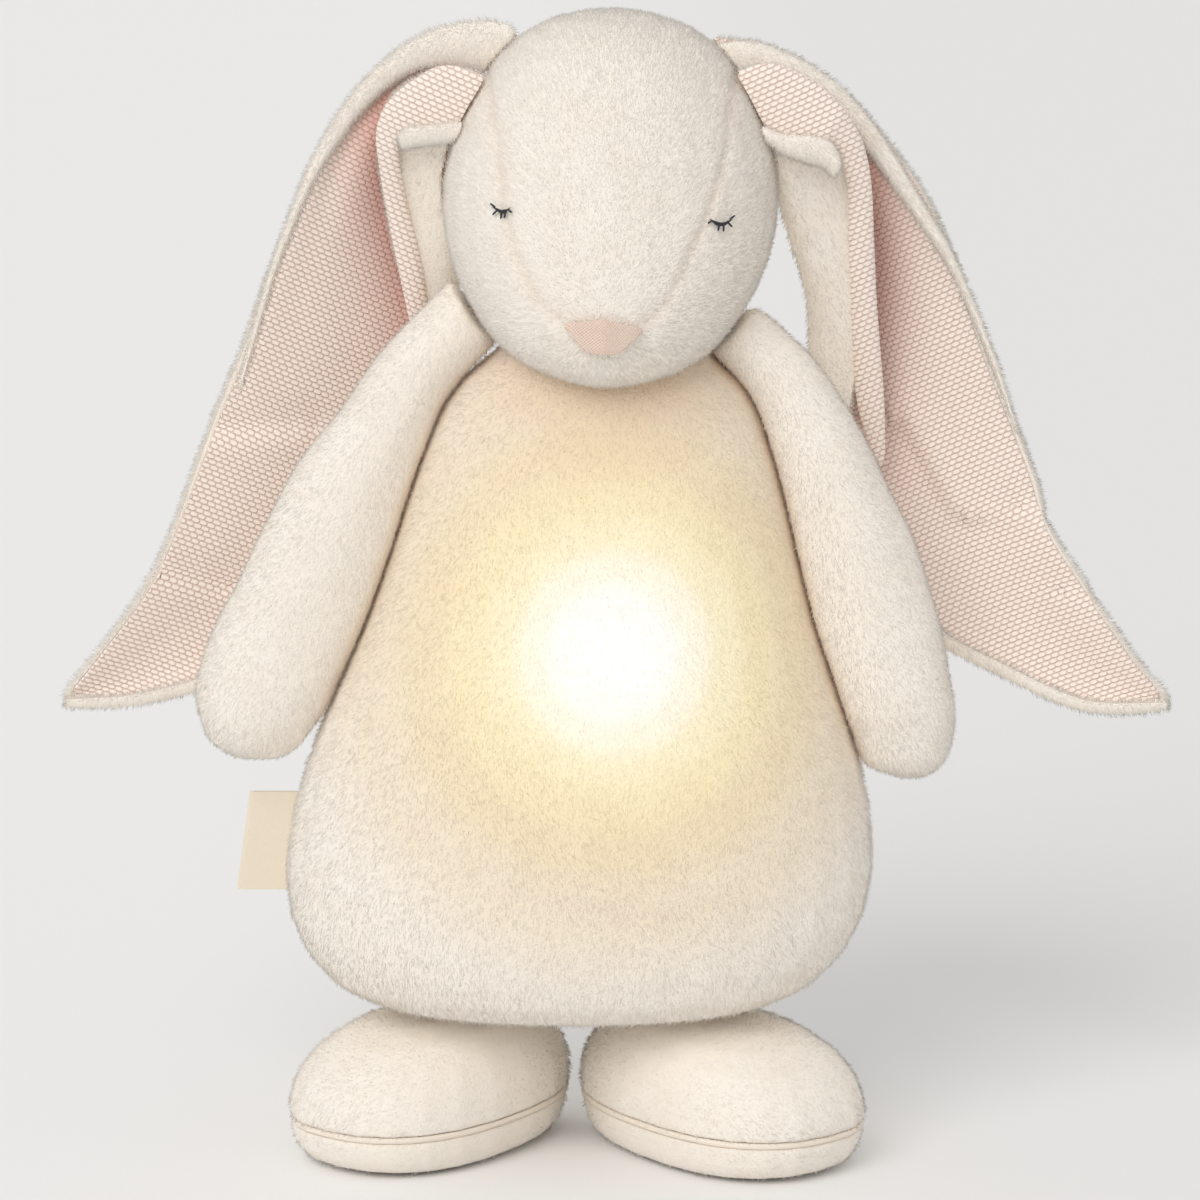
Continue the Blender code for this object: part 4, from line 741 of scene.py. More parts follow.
def from_muzzle(points):
    """Pile that lies back from the muzzle over the whole head."""
    return points - MUZZLE


for index, front in enumerate((True, True, False)):
    def head_half(points, normals, front=front):
        """The head's front or back."""
        return (normals[:, 1] < 0) == front

    pile("head_pile_%d" % (index + 1), head, "head", 30000, 1.6 * MM, from_muzzle, 41 + index, wanted=head_half)

# The nose and eyes
# The nose is a small pad of blush ribbed cloth sewn between the gusset seams, its top edge half under
# the pile. Each closed eye is a few stitches of near-black thread with three stray ends for lashes.

# Each stitch is its start and end across and down from the eye's middle, and how far it bows down, in mm
EYE_STITCHES = (
    (-3.0, -0.3, 3.0, 0.0, 1.1),
    (-2.6, 0.0, 2.4, 0.3, 1.3),
    (-1.4, 0.4, 1.6, 0.5, 0.7),
    (-0.6, 0.6, -0.9, 2.9, 0.0),
    (0.5, 0.7, 0.4, 3.2, 0.1),
    (1.3, 0.4, 2.9, 2.2, 0.1),
    (2.0, 0.1, 3.6, -0.9, 0.0),
    (-2.2, 0.2, -3.3, 1.0, 0.0),
)
THREAD_RADIUS = 0.27 * MM

nose_cloth = woven("nose_cloth_rib", (250, 230, 215), (235, 206, 189), 0.9, 0.3)
nose = soft_copy("nose_pad", "nose", 0.45 * MM, 0.05 * MM, 2)
dress(nose, nose_cloth, "head", "nose_cloth", "nose")


def threads_piece(name, paths, radius, sides=6):
    """Threads as one mesh: round sections square to each path, thinning to a point at both ends. paths is an
    array of threads, points and places."""
    paths = np.asarray(paths, float)
    count, steps, _ = paths.shape
    heading = np.gradient(paths, axis=1)
    heading /= np.linalg.norm(heading, axis=2, keepdims=True)
    up = unit(np.cross(heading, np.array((0.0, 1.0, 0.0))), 1e-9)
    other = np.cross(heading, up)
    thin = radius * np.sqrt(np.clip(1 - np.linspace(-1, 1, steps) ** 4, 0.02, 1))[None, :, None, None]
    turn = np.linspace(0, math.tau, sides, endpoint=False)[None, None, :, None]
    rings = paths[:, :, None] + thin * (np.cos(turn) * up[:, :, None] + np.sin(turn) * other[:, :, None])
    faces = []
    for first in range(0, count * steps * sides, steps * sides):
        faces += (ring_quads(steps, sides) + first).tolist()
    for first in range(0, count * steps * sides, steps * sides):
        faces.append(tuple(range(first + sides - 1, first - 1, -1)))
        faces.append(tuple(range(first + (steps - 1) * sides, first + steps * sides)))
    return closed_piece(name, rings, faces)


def on_skin(obj, x, z, lift):
    """Points on the front of a skin straight behind x and z, lifted off it."""
    places = []
    for one_x, one_z in zip(x, z):
        _, place, normal, _ = obj.ray_cast((one_x, -0.2, one_z), (0, 1, 0))
        places.append(np.array(place) + np.array(normal) * lift)
    return places


thread_look = grained("dark_thread_twist", srgb(44, 42, 50), 0.6, 4000, 0.35, 0.06)
bpy.context.view_layer.update()
for name, middle_x, middle_z, side in (("eye_left", -29.95, 266.8, -0.85), ("eye_right", 27.05, 263.6, 1)):
    threads = []
    for x0, down0, x1, down1, bow in EYE_STITCHES:
        t = np.linspace(0, 1, 7)
        x = (middle_x + side * (x0 + (x1 - x0) * t)) * MM
        z = (middle_z - (down0 + (down1 - down0) * t + bow * np.sin(math.pi * t))) * MM
        threads.append(on_skin(head, x, z, 1.25 * MM))
    eye = threads_piece(name + "_stitches", threads, THREAD_RADIUS)
    dress(eye, thread_look, "head", "dark_thread", name)

# The arms
# Long stuffed plush arms, wider towards the hand, sewn to the body under the head. They hang beside
# the body.

ARM_LENGTH = 137 * MM
# An arm's width and depth in mm, of which the rows below give shares, after the centre's places out and down
ARM_WIDTH, ARM_DEPTH = 35, 31
ARM_STEPS, ARM_SIDES = 96, 72
SHOULDER_Z = 230.5 * MM
ARM_LEFT_ROWS = (
    (-0.029, -0.078, 0.0, 0.0), (-0.0255, -0.072, 0.20, 0.22), (-0.013, -0.05, 0.289, 0.32),
    (0.051, 0.009, 0.285, 0.35), (0.136, 0.113, 0.31, 0.38), (0.196, 0.2255, 0.376, 0.42),
    (0.257, 0.338, 0.46, 0.46), (0.3066, 0.4606, 0.50, 0.48), (0.3577, 0.573, 0.515, 0.49),
    (0.403, 0.6657, 0.52, 0.50), (0.434, 0.7336, 0.50, 0.48), (0.4526, 0.7956, 0.42, 0.41),
    (0.467, 0.843, 0.28, 0.26), (0.474, 0.869, 0.0, 0.0),
)
ARM_RIGHT_ROWS = (
    (-0.029, -0.067, 0.0, 0.0), (-0.0255, -0.061, 0.18, 0.22), (0.005, -0.0036, 0.267, 0.32),
    (0.069, 0.05, 0.281, 0.35), (0.117, 0.111, 0.31, 0.37), (0.171, 0.2095, 0.357, 0.41),
    (0.2153, 0.325, 0.402, 0.45), (0.25, 0.42, 0.45, 0.47), (0.28, 0.522, 0.489, 0.49),
    (0.31, 0.624, 0.489, 0.50), (0.34, 0.729, 0.46, 0.49), (0.36, 0.804, 0.41, 0.42),
    (0.369, 0.877, 0.30, 0.28), (0.368, 0.915, 0.0, 0.0),
)
# Each arm's node, rows, side, shoulder joint and hand, in mm
ARMS = (
    ("arm_left", ARM_LEFT_ROWS, -1, (-39.75, -5, 236.5), (-103, -5, 118)),
    ("arm_right", ARM_RIGHT_ROWS, 1, (30.25, -5, 236.5), (80, -5, 110)),
)
NECK = (-3.69 * MM, 0, 222.3 * MM)
TILT_ROOM = 2.2


def rows_at(rows, share):
    """A table's values at shares of its length, on a smooth curve through its rows: each span is a cubic
    whose slope at either end is half the step between that row's neighbours."""
    rows = np.asarray(rows, float)
    last = len(rows) - 1
    along = np.clip(share, 0, 1) * last
    index = np.minimum(along.astype(int), last - 1)
    t = (along - index).reshape((-1,) + (1,) * (rows.ndim - 1))
    a, b, c, d = rows[np.maximum(index - 1, 0)], rows[index], rows[index + 1], rows[np.minimum(index + 2, last)]
    slope_in, slope_out = (c - a) / 2, (d - b) / 2
    square, cube = 3 * (c - b) - 2 * slope_in - slope_out, 2 * (b - c) + slope_in + slope_out
    return b + slope_in * t + square * t**2 + cube * t**3


def closed_tube(name, rings, first, last):
    """A closed form from rings of points, rows by places round: quads between the rings, and a fan at
    either end to its pole."""
    rows, sides, _ = rings.shape
    step = np.arange(sides)
    after, low = (step + 1) % sides, (rows - 1) * sides
    start_fan = np.stack((after, step, np.full(sides, rows * sides)), -1)
    end_fan = np.stack((low + step, low + after, np.full(sides, rows * sides + 1)), -1)
    points = np.concatenate((rings.reshape(-1, 3), first[None], last[None]))
    return closed_piece(name, points, ring_quads(rows, sides).tolist() + start_fan.tolist() + end_fan.tolist())


def arm_skin(name, rows, shoulder_x, side, inset):
    """An arm, whose top lies a little further back behind the head: ovals square to its path, drawn in by the
    inset and fuller by 2 mm towards the body. An uneven swell of up to 0.35 mm keeps it from looking turned."""
    share = np.linspace(0.004, 0.996, ARM_STEPS)

    def centre(share):
        """The arm's path: out and down from the rows, and back near the top."""
        out, down = rows_at(rows, share)[:, :2].T
        depth = -5 * MM + 8 * MM * np.exp(-((share / 0.14) ** 2))
        return np.column_stack((shoulder_x + side * out * ARM_LENGTH, depth, SHOULDER_Z - down * ARM_LENGTH))

    way = unit(centre(share + 0.01) - centre(share - 0.01))
    across = np.column_stack((-way[:, 2], np.zeros(ARM_STEPS), way[:, 0]))
    half_width, half_depth = rows_at(rows, share)[:, 2:].T
    turn = np.linspace(0, math.tau, ARM_SIDES, endpoint=False)
    around = share[:, None] * 31 + 2 * turn[None], share[:, None] * 17 - 3 * turn[None] + side
    swell = 0.35 * MM * np.sin(around[0]) * np.sin(around[1])
    inner = np.clip(-side * np.cos(turn), 0, 1)[None] ** 2 * np.ones((ARM_STEPS, 1))
    wide = np.maximum(half_width[:, None] * ARM_WIDTH * MM - inset + swell + 2 * MM * inner, 0.2 * MM)
    deep = np.maximum(half_depth[:, None] * ARM_DEPTH * MM - inset + swell, 0.2 * MM)
    rings = centre(share)[:, None] + across[:, None] * (wide * np.cos(turn))[..., None]
    rings = rings + np.array((0.0, 1.0, 0.0)) * (deep * np.sin(turn))[..., None]
    return closed_tube(name, rings, *centre(np.array((0.0, 1.0))))


def trimmed(obj, *cutters):
    """Cut a piece away where it would run into its neighbours."""
    for cutter in cutters:
        cut = obj.modifiers.new("trim", "BOOLEAN")
        cut.operation = "DIFFERENCE"
        cut.solver = "EXACT"
        cut.object = cutter
    return settle(obj)


skull = soft_copy("skull_room", "head", 2.0 * MM, -0.5 * MM, 4)
shoulders = soft_copy("shoulder_room", "torso", 2.5 * MM, -0.2 * MM, 4)
# The head tilts to either side over the arms' tops, so they leave it room
neck = Matrix.Translation(NECK)
tilted = []
for tilt in (-TILT_ROOM, TILT_ROOM):
    head_room = linked("tilt_room", skull.data.copy())
    head_room.data.transform(neck @ Matrix.Rotation(math.radians(tilt), 4, "Y") @ neck.inverted())
    tilted.append(head_room)
for index, (node, rows, side, shoulder, hand) in enumerate(ARMS):
    shoulder, hand = np.array(shoulder) * MM, np.array(hand) * MM
    way = hand - shoulder
    arm = trimmed(arm_skin(node + "_skin", rows, shoulder[0], side, 0.6 * MM), skull, *tilted, shoulders)
    # The cut edges are stuffed and round
    evened(arm, 1.5 * MM, 10)
    points, _ = vertex_arrays(arm.data)
    # Painted shade where the arm lies against the torso
    dress(arm, plush_skin, None, "cream_plush", node, seam=0.4 * beside(points, SHADE_REACH, "torso"))

    def to_hand(points, way=way):
        """Pile that lies along the arm."""
        return np.tile(way, (len(points), 1))

    nap = pile(node + "_pile", arm, None, 29000, 1.8 * MM, to_hand, 51 + index)
    for piece in (arm, nap):
        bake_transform(piece)

# The ears
# Each ear is a long leaf of plush lined with blush knit, folded lengthwise where it joins the head.
# Its inner margin comes forwards over the fold like a lapel, and the lining is turned out along it.

EAR_LENGTH = 200 * MM
EAR_LEAN = math.radians(24)
# The crease's place out and down from the root and the leaf's width, as shares of the ear's length
EAR_LEFT_ROWS = (
    (0.00, 0.1075, 0.115), (0.015, 0.10, 0.105), (0.032, 0.104, 0.10), (0.043, 0.119, 0.115),
    (0.05, 0.1475, 0.148), (0.058, 0.1925, 0.178), (0.06, 0.2625, 0.217), (0.0645, 0.3625, 0.256),
    (0.087, 0.5225, 0.276), (0.155, 0.6825, 0.28), (0.27, 0.8225, 0.24), (0.39, 0.9025, 0.185),
    (0.50, 0.9325, 0.11), (0.60, 0.945, 0.03),
)
EAR_RIGHT_ROWS = (
    (0.02, 0.0975, 0.12), (0.035, 0.09, 0.095), (0.052, 0.094, 0.088), (0.066, 0.109, 0.10),
    (0.074, 0.1375, 0.133), (0.09, 0.1875, 0.158), (0.114, 0.2675, 0.186), (0.1425, 0.3625, 0.205),
    (0.1525, 0.5275, 0.25), (0.205, 0.6725, 0.25), (0.30, 0.82, 0.2325), (0.415, 0.8875, 0.1825),
    (0.525, 0.9325, 0.1175), (0.635, 0.94, 0.03),
)
# How far back the outer edge and the crease lie, as shares of the ear's length
EAR_BACK_ROWS = (
    (0.03, 0.0), (0.035, 0.005), (0.04, 0.01), (0.045, 0.0175), (0.0525, 0.0275), (0.06, 0.0475), (0.075, 0.075),
    (0.0925, 0.1025), (0.105, 0.125), (0.11, 0.13), (0.1025, 0.125), (0.0925, 0.115), (0.0825, 0.10), (0.075, 0.085),
)
# How far the lapel reaches from the crease towards the outer edge, row by row, in mm
LAPEL_LEFT_ROWS = (4, 6, 11, 18, 20, 18.5, 16.5, 12.5, 6, 0)
LAPEL_RIGHT_ROWS = (6, 7.5, 10, 14.5, 20.5, 21.5, 20, 16.5, 16.5, 12, 0.5)
# Creases across the leaf as they are seen: two ends in pixels, and how far they dent it, in mm
EAR_LEFT_DENTS = (((205, 437), (300, 432), 1.6), ((158, 576), (215, 592), 1.5))
EAR_RIGHT_DENTS = (((1035, 508), (1085, 560), 1.3), ((1075, 590), (1120, 610), 0.9), ((905, 420), (960, 520), -1.6))
# Soft rolls as they are seen in pixels: one edge and the other, row by row. The first pair is the knit turned
# out along the lapel, the second the plush that comes over the top of the ear, the third the fold under the knit
KNIT_LEFT_ROLL = (
    (488, 80, 486, 112), (462, 76, 462, 136), (440, 78, 438, 138), (420, 89, 420, 139), (400, 104, 408, 142),
    (386, 122, 403, 148), (380, 145, 402, 160), (383, 177, 404, 180), (388, 210, 410, 210), (394, 243, 418, 243),
    (403, 293, 428, 293), (412, 350, 434, 350),
)
KNIT_RIGHT_ROLL = (
    (730, 76, 738, 112), (763, 73, 758, 134), (795, 84, 782, 147), (826, 106, 808, 148), (850, 134, 828, 154),
    (863, 164, 839, 172), (869, 199, 845, 200), (872, 245, 847, 245), (876, 300, 850, 300), (881, 350, 853, 350),
    (887, 405, 858, 405), (892, 465, 874, 465),
)
TOP_LEFT_ROLL = (
    (525, 24, 500, 84), (482, 28, 478, 80), (440, 37, 448, 74), (406, 54, 418, 78), (375, 80, 390, 94),
    (350, 108, 363, 119), (328, 141, 339, 149), (309, 178, 317, 183), (292, 219, 298, 223), (272, 272, 277, 274),
    (254, 330, 258, 332), (237, 390, 240, 391),
)
TOP_RIGHT_ROLL = (
    (700, 44, 728, 96), (748, 48, 752, 92), (785, 61, 780, 93), (815, 77, 806, 103), (842, 98, 830, 121),
    (868, 127, 856, 146), (893, 163, 883, 177), (922, 210, 914, 219), (949, 254, 943, 260), (972, 303, 967, 306),
    (997, 364, 993, 366), (1019, 428, 1016, 429),
)
FOLD_LEFT_ROLL = (
    (470, 130, 466, 146), (450, 133, 448, 151), (430, 135, 430, 153), (412, 137, 415, 155), (402, 146, 408, 158),
)
FOLD_RIGHT_ROLL = (
    (752, 132, 762, 150), (778, 143, 782, 163), (805, 145, 803, 170), (826, 152, 820, 176), (838, 172, 828, 186),
)
# Each ear's name, tables, root across and up in mm, side, and where it is sewn on, across in mm
EARS = (
    ("ear_left", EAR_LEFT_ROWS, LAPEL_LEFT_ROWS, EAR_LEFT_DENTS, (KNIT_LEFT_ROLL, TOP_LEFT_ROLL, FOLD_LEFT_ROLL),
     (-26, 310.5), -1, -36.5),
    ("ear_right", EAR_RIGHT_ROWS, LAPEL_RIGHT_ROWS, EAR_RIGHT_DENTS, (KNIT_RIGHT_ROLL, TOP_RIGHT_ROLL, FOLD_RIGHT_ROLL),
     (33, 308.5), 1, 33.5),
)
EAR_SHIFT = np.array((FIGURE_X, 1 * MM, 0))
ROLL_STEPS = 80
LEAF_SHARES = np.linspace(0, 0.992, 130)


def ear_crease(rows, root, side, share):
    """The crease's place: out, back and down from the root, as shares of the ear's length."""
    out, down = rows_at(rows, share)[:, :2].T
    back = rows_at(EAR_BACK_ROWS, share)[:, 1]
    return np.column_stack((root[0] + side * out * EAR_LENGTH, back * EAR_LENGTH, root[1] - down * EAR_LENGTH))


def ear_frame(rows, root, side, share):
    """At each share of the crease: its place, the outer edge's place and the direction from edge to crease.
    The outer edge is evened out along its length, and the leaf narrows to a rounded point at the tip."""
    fine = np.linspace(0, 1, 241)
    crease = ear_crease(rows, root, side, fine)
    heading = ear_crease(rows, root, side, fine + 0.02) - ear_crease(rows, root, side, fine - 0.02)
    square = unit(np.column_stack((heading[:, 2], np.zeros(len(fine)), -heading[:, 0]))) * side
    outer = crease - square * rows_at(rows, fine)[:, 2:3] * EAR_LENGTH
    outer[:, 1] = rows_at(EAR_BACK_ROWS, fine)[:, 0] * EAR_LENGTH
    reach = 36
    padded = np.concatenate((2 * outer[0] - outer[reach:0:-1], outer, 2 * outer[-1] - outer[-2 : -reach - 2 : -1]))
    bell = np.exp(-((np.arange(-reach, reach + 1) / 13.0) ** 2))
    outer = np.column_stack([np.convolve(padded[:, k], bell / bell.sum(), "valid") for k in range(3)])
    slim = np.sqrt(np.clip(1 - (np.clip(fine - 0.92, 0, 0.08) / 0.081) ** 2, 0.0001, 1))[:, None]
    middle = (crease + outer) / 2
    crease, outer = middle + (crease - middle) * slim, middle + (outer - middle) * slim
    edges = (crease, outer)
    crease, outer = (np.column_stack([np.interp(share, fine, edge[:, k]) for k in range(3)]) for edge in edges)
    return crease, outer, unit(crease - outer)


def closing_at(share):
    """How far the fold has closed, from 0 down to the middle of the ear to 1 at 0.72 of its length, eased."""
    part = np.clip((share - 0.50) / 0.22, 0, 1)
    return part * part * (3 - 2 * part)


def knit_places(x, z, side):
    """Places in the cloth, whose rows run across the leaning ear. They are moved along to stay above 0."""
    lean = EAR_LEAN * side
    laid = (x * math.cos(lean) + z * math.sin(lean), z * math.cos(lean) - x * math.sin(lean))
    return np.stack(laid, -1) + np.array((0.4, 0.0))


def ear_surface(rows, lapel_rows, root, side, share, across):
    """The ear's middle surface: across runs from the outer edge over the cupped leaf to the crease, round its
    half circle, and forwards along the lapel, whose width has its own rows. The circle tightens towards the
    tip. Returns the surface and each point's place in the cloth laid flat."""
    crease, outer, inwards = ear_frame(rows, root, side, share)
    back = np.array((0.0, 1.0, 0.0))
    back = unit(back - inwards * inwards[:, 1:2])
    closing = closing_at(share)[:, None]
    slim = np.sqrt(np.clip(1 - (np.clip(share - 0.93, 0, 0.07) / 0.071) ** 2, 0.01, 1))[:, None]
    radius = (4 - 2.9 * closing) * MM * slim
    lapel = lapel_at(lapel_rows, share)[:, None] * MM
    flap = np.maximum(lapel - 4 * MM, 0.3 * MM) * (1 - closing) + 0.4 * MM * closing * slim
    centre = crease - (inwards + back) * radius
    bend = crease - inwards * radius
    span = np.linalg.norm(bend - outer, axis=1, keepdims=True)
    fold = np.exp(-(((share[:, None] - 0.30) / 0.22) ** 2))
    cup = back * np.minimum(3 * MM, span / 8)
    bulge = -back * np.minimum(4.5 * MM, span / 6) * fold
    lines = [outer, outer + (bend - outer) * 0.28 + bulge * 0.9 + cup * 0.4]
    lines += [outer + (bend - outer) * 0.6 + bulge * 0.5 + cup, outer + (bend - outer) * 0.85 + cup * 0.9]
    for index in range(5):
        angle = math.pi * (0.5 - index / 4)
        lines.append(centre + (inwards * math.cos(angle) + back * math.sin(angle)) * radius)
    lines += [centre - back * radius - inwards * flap / 2, centre - back * radius - inwards * flap]
    surface = rows_at(np.array(lines), across)
    walked = np.concatenate((np.zeros((1, len(share))), np.linalg.norm(np.diff(surface, axis=0), axis=2).cumsum(0)))
    walked = walked - walked[np.abs(np.asarray(across) - 0.5).argmin()]
    flat = crease[None][..., (0, 2)] + inwards[None][..., (0, 2)] * walked[..., None]
    return surface, knit_places(flat[..., 0], flat[..., 1], side)


def lapel_at(lapel_rows, share):
    """The lapel's width in mm. Its rows are spaced as the ear's, but end before the tip."""
    return rows_at(lapel_rows, share / ((len(lapel_rows) - 1) / 13))


def grid_normals(grid):
    """Normals of a grid surface, from the cross of its two directions."""
    return unit(np.cross(np.gradient(grid, axis=0), np.gradient(grid, axis=1)))


def set_weave(mesh, corners, places):
    """Give each face corner its point's place in the cloth, in metres, as a UV map."""
    mesh.uv_layers.new(name="weave").data.foreach_set("uv", places[corners].astype(np.float32).ravel())


def slab(name, front, back, weave=None):
    """A closed sheet between two grids of the same size: both faces, and a rim that joins their four edges.
    weave gives each grid point its place in the cloth."""
    rows, cols, _ = front.shape
    index = np.arange(rows * cols).reshape(rows, cols)
    quads = np.stack((index[:-1, :-1], index[1:, :-1], index[1:, 1:], index[:-1, 1:]), -1).reshape(-1, 4)
    behind = quads[:, ::-1] + rows * cols
    rim = np.concatenate((index[0, :-1], index[:-1, -1], index[-1, :0:-1], index[:0:-1, 0]))
    after = np.roll(rim, -1)
    walls = np.stack((rim, after, after + rows * cols, rim + rows * cols), -1)
    faces = np.concatenate((quads, behind, walls))
    over, along = np.gradient(front, axis=0), np.gradient(front, axis=1)
    if (np.cross(over, along) * (front - back)).sum() < 0:
        faces = faces[:, ::-1]
    mesh = bpy.data.meshes.new(name)
    mesh.from_pydata(np.concatenate((front.reshape(-1, 3), back.reshape(-1, 3))).tolist(), [], faces.tolist())
    if weave is not None:
        set_weave(mesh, faces.reshape(-1), np.tile(weave.reshape(-1, 2), (2, 1)))
    mesh.shade_smooth()
    mesh.set_sharp_from_angle(angle=math.radians(60))
    return linked(name, mesh)


def make_knit_group():
    """Blister knit: rows of rounded cells, each row half a cell along, pale on top and rose between them.
    A cell's height falls with a power of the distance from its middle."""
    kinds = {"Top": "Color", "Between": "Color", "Width": "Float", "Height": "Float"}
    group, given, out = tree_group("knit", kinds)
    cloth = shader_node(group, "UVMap", uv_map="weave")
    here = shader_node(group, "TexCoord", out="Object")
    parts = shader_node(group, "SeparateXYZ", cloth).node.outputs

    def of(operation, *values):
        return math_of(group, operation, *values)

    def power(place, stretch):
        """How far a place is from the middle of its cell, raised to a power."""
        off = of("MULTIPLY", of("SUBTRACT", of("FRACT", place), 0.5), stretch)
        return of("POWER", of("ABSOLUTE", off), 2.6)

    row = of("DIVIDE", parts["Y"], given["Height"])
    odd = of("MULTIPLY", of("MODULO", of("FLOOR", row), 2.0), 0.5)
    column = of("ADD", of("DIVIDE", parts["X"], given["Width"]), odd)
    top = of("SUBTRACT", 1.0, of("ADD", power(column, 1.95), power(row, 2.05)))
    relief = shader_node(group, "MapRange", top, From_Min=-0.25, From_Max=0.6)
    mottle = shader_node(group, "TexNoise", Vector=here, Scale=500.0, Detail=3.0)
    tone_mix = of("MULTIPLY", relief, of("ADD", of("MULTIPLY", mottle, 0.5), 0.75))
    fill(out, Colour=mixed(group, tone_mix, given["Between"], given["Top"], clamp_factor=True), Height=relief)
    return group


# In the depth of the fold the knit is given painted shade, a deeper rose
knit_look, shader = fresh_material(
    "blush_knit_blister", srgb(238, 216, 206), 0.9, Sheen_Weight=0.15, Specular_IOR_Level=0.2
)
tree = knit_look.node_tree
cells = cover(
    shader, make_knit_group(), 0.0005, 0.8,
    Top=srgb(254, 241, 231), Between=srgb(243, 216, 203), Width=2.3 * MM, Height=1.4 * MM,
)
deep = shader_node(tree, "Attribute", attribute_name="deep", out="Fac")
fill(shader, Base_Color=mixed(tree, deep, cells, srgb(216, 154, 138)))


def dented(grid, dents):
    """Shallow creases: each dents the leaf backwards beside its line and lifts it a little below the line."""
    flat = grid.reshape(-1, 3)[:, (0, 2)]
    moved = np.zeros(len(flat))
    for start, end, depth in dents:
        line = seen_place((start, end), 20 * MM)
        away = near_line(flat, line)
        past, whole = flat - line[0], line[1] - line[0]
        below = np.sign(past[:, 1] - whole[1] * np.clip(past[:, 0] / whole[0], 0, 1))
        moved += depth * MM * np.where(below > 0, 1, -0.5) * away / (3 * MM) * np.exp(1 - away / (3 * MM))
    return grid + np.array((0.0, 1.0, 0.0)) * moved.reshape(grid.shape[:2])[..., None]


def soft_roll(name, rows, depths, thick):
    """A closed oval roll between two lines as they are seen, at its own depth row by row. Each section is
    flattened, and the roll thins to nothing over its last tenth."""
    share = np.linspace(0, 1, ROLL_STEPS)
    seen = rows_at(rows, share)
    one, two = seen_place(seen[:, :2], depths), seen_place(seen[:, 2:], depths)
    centre, half = (one + two) / 2, (one - two) / 2
    taper = np.sqrt(np.clip(1 - np.abs(2 * share - 1) ** 10, 0.02, 1))
    turn = np.linspace(0, math.tau, 36, endpoint=False)
    over = np.sign(np.cos(turn)) * np.abs(np.cos(turn)) ** 0.8 * taper[:, None]
    flat = centre[:, None] + half[:, None] * over[..., None]
    fore = depths[:, None] - np.sin(turn) * (thick * taper)[:, None]
    rings = np.stack((flat[..., 0], fore, flat[..., 1]), -1)
    return trimmed(closed_tube(name, rings, rings[0].mean(0), rings[-1].mean(0)), skull, shoulders)


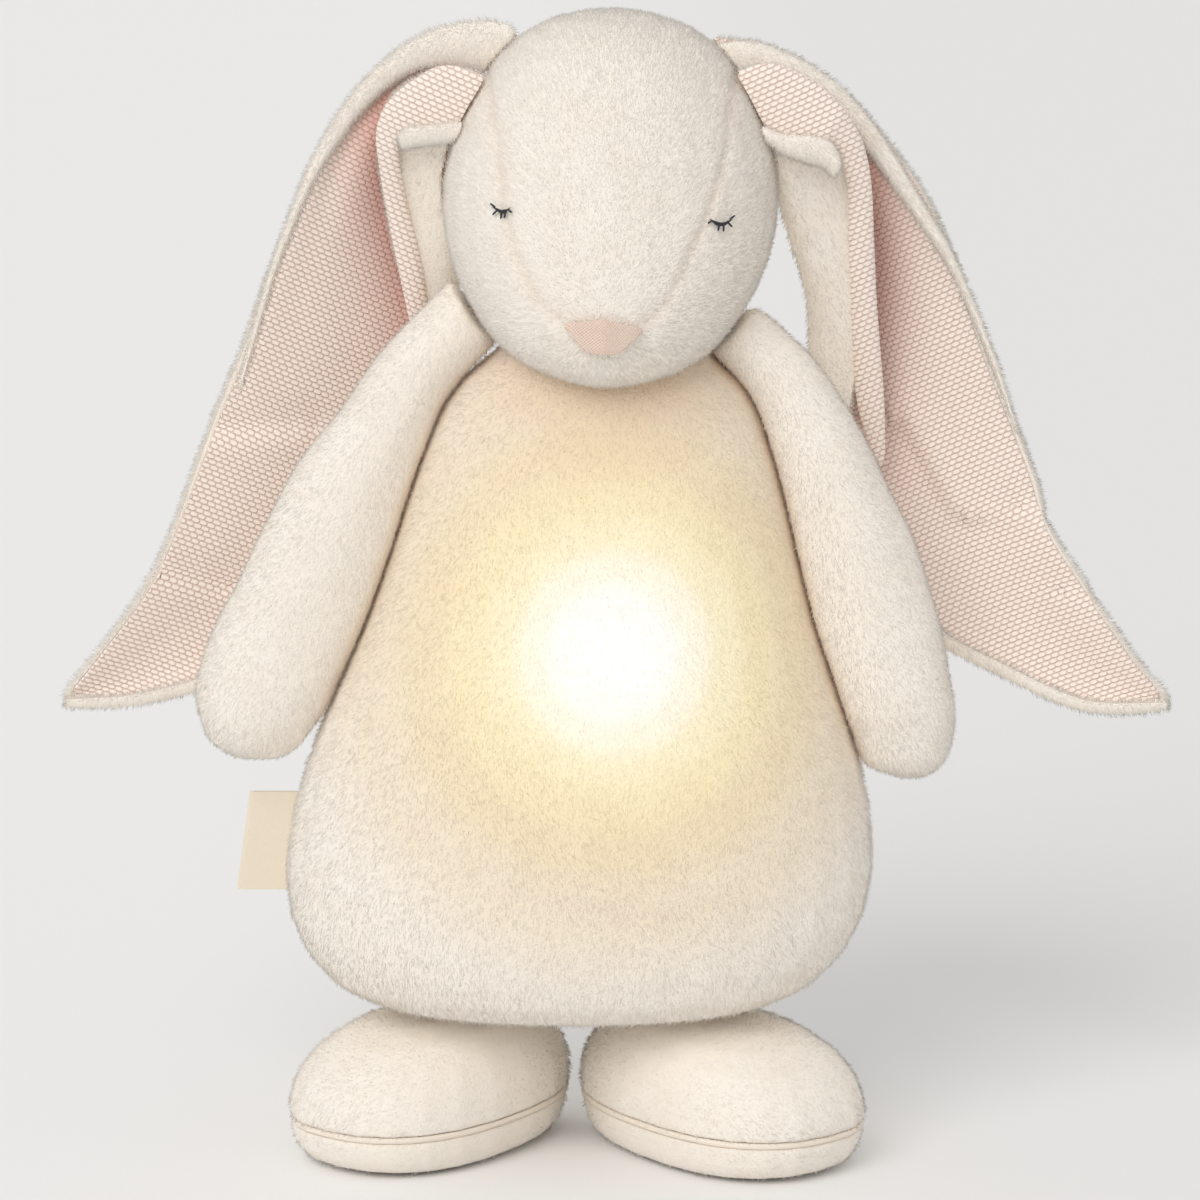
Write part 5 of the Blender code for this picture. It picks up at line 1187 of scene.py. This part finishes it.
for index, (name, rows, lapel_rows, dents, rolls, root, side, sewn_x) in enumerate(EARS):
    root = (root[0] * MM, root[1] * MM)
    grid, _ = ear_surface(rows, lapel_rows, root, side, np.linspace(0, 1, 120), np.linspace(0, 1, 72))
    grid = dented(grid + EAR_SHIFT, dents)
    normal = grid_normals(grid) * side
    back = slab(name + "_plush", grid - normal * 0.2 * MM, grid - normal * 2.0 * MM)
    set_values(back.data, "outside", np.repeat((0.0, 1.0), grid.shape[0] * grid.shape[1]))
    trimmed(back, skull, shoulders)
    dress(back, plush_skin, None, "cream_plush", name + "_back", seam=0)

    across = np.concatenate((np.linspace(0.012, 0.3, 36), np.linspace(0.31, 0.985, 44)))
    leaf, laid = ear_surface(rows, lapel_rows, root, side, LEAF_SHARES, across)
    leaf = dented(leaf + EAR_SHIFT, dents)
    normal = grid_normals(leaf) * side
    lining = slab(name + "_knit", leaf + normal * 0.9 * MM, leaf + normal * 0.2 * MM, laid)
    crease, outer, inwards = ear_frame(rows, root, side, LEAF_SHARES)
    # Painted shade: deep is high in the fold beside the lapel's ridge and fades out past the middle of the ear
    reach = ((leaf - EAR_SHIFT - outer) * inwards).sum(2)
    ridge = np.linalg.norm(crease - outer, axis=1) - lapel_at(lapel_rows, LEAF_SHARES) * MM
    deep = np.exp(-((np.clip(ridge - reach, 0, 1) / (10 * MM)) ** 1.5)) * 0.9
    deep = deep / (1 + np.exp((LEAF_SHARES[None] - 0.60) / 0.05))
    set_values(lining.data, "deep", np.tile(np.clip(deep, 0, 1).reshape(-1), 2))
    trimmed(lining, skull, shoulders)
    dress(lining, knit_look, None, "blush_knit", name + "_lining")

    # The knit's margin comes round the lapel to the front as a soft roll, wide where it leaves the head, and
    # plush comes over the top of the ear and lies in a fold under the knit
    knit_rows, top_rows, fold_rows = rolls
    line = np.linspace(0.12, 0.7, 60)
    crease = ear_crease(rows, root, side, line) + EAR_SHIFT
    fore = crease[:, 1] - (2 * (4 - 2.9 * closing_at(line)) + 1.9) * MM
    height = seen_place(rows_at(knit_rows, np.linspace(0, 1, ROLL_STEPS))[:, :2], -5 * MM)[:, 1]
    depths = np.interp(-height, -crease[:, 2], fore)
    band = soft_roll(name + "_turned_knit", knit_rows, depths, np.full(ROLL_STEPS, 2.2 * MM))
    points, _ = vertex_arrays(band.data)
    corner = np.empty(len(band.data.loops), np.int32)
    band.data.loops.foreach_get("vertex_index", corner)
    set_weave(band.data, corner, knit_places(points[:, 0], points[:, 2], side))
    set_values(band.data, "deep", np.zeros(len(points)))
    dress(band, knit_look, None, "blush_knit")
    line, stops = np.linspace(0, 1, ROLL_STEPS), (0, 0.7, 1)
    depths, thick = (np.interp(line, stops, values) * MM for values in ((4.5, 7.5, 13), (3.6, 1.6, 0.8)))
    top = soft_roll(name + "_top_plush", top_rows, depths, thick)
    fold = soft_roll(name + "_fold_plush", fold_rows, np.full(ROLL_STEPS, -9 * MM), np.full(ROLL_STEPS, 2 * MM))
    for piece in (top, fold):
        dress(piece, plush_skin, None, "cream_plush", seam=0)

    def down_ear(points, side=side):
        """Pile that lies outwards and down along the ear."""
        return np.column_stack((np.full(len(points), side * 0.35), np.zeros(len(points)), -np.ones(len(points))))

    pieces = [back, lining, band, top, fold]
    for label, base, count, length, lean, mask in (
        ("outside", back, 17000, 1.9 * MM, 0.6, (0.9, 1.1)),
        ("edge", back, 11000, 2.2 * MM, 0.35, (0.2, 0.8)),
        ("top", top, 9000, 2.2 * MM, 0.5, None),
        ("fold", fold, 2500, 1.8 * MM, 0.5, None),
    ):
        nap_name = "%s_%s_pile" % (name, label)
        pieces.append(pile(nap_name, base, None, count, length, down_ear, 61 + index, lean=lean, mask=mask))
    # The root is sewn to the side of the head; each piece's place is moved into its points
    for piece in pieces:
        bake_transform(piece)
for tool in (skull, shoulders, *tilted):
    bpy.data.objects.remove(tool, do_unlink=True)

# The side label
# A cream ribbon folded in two and caught in the body's side seam; it is left blank.

LABEL_MIDDLE_Z = 87 * MM
LABEL_HEIGHT = 28 * MM
LABEL_LEAN = math.radians(8)

solid_low, solid_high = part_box("side_label")
seam_x, fold_x = solid_high.x + 2 * MM, solid_low.x
t = np.linspace(0, 1, 48)[:, None]
height = np.linspace(-LABEL_HEIGHT / 2, LABEL_HEIGHT / 2, 40)[None]
bow = np.sin(height / LABEL_HEIGHT * 2.4) * 0.3 * MM
run = np.abs(2 * t - 1) ** 1.15
x = fold_x + 2.2 * MM + (seam_x - fold_x - 2.2 * MM) * run + 0 * height
y = 1 * MM + np.sign(t - 0.5) * 0.42 * MM * np.minimum(1, (1 - run) * 3 + 0.4) * np.minimum(1, run * 12) + bow
z = LABEL_MIDDLE_Z + height * math.cos(LABEL_LEAN) + 0 * t
grid = np.stack((x + height * math.sin(LABEL_LEAN), y, z), -1)
normal = grid_normals(grid)
ribbon_look = woven("ribbon_satin", (240, 230, 212), (226, 212, 190), 0.5, 0.08, 0.6)
label = slab("side_label_ribbon", grid + normal * 0.12 * MM, grid - normal * 0.12 * MM)
dress(label, ribbon_look, "torso", "ribbon", "side_label")
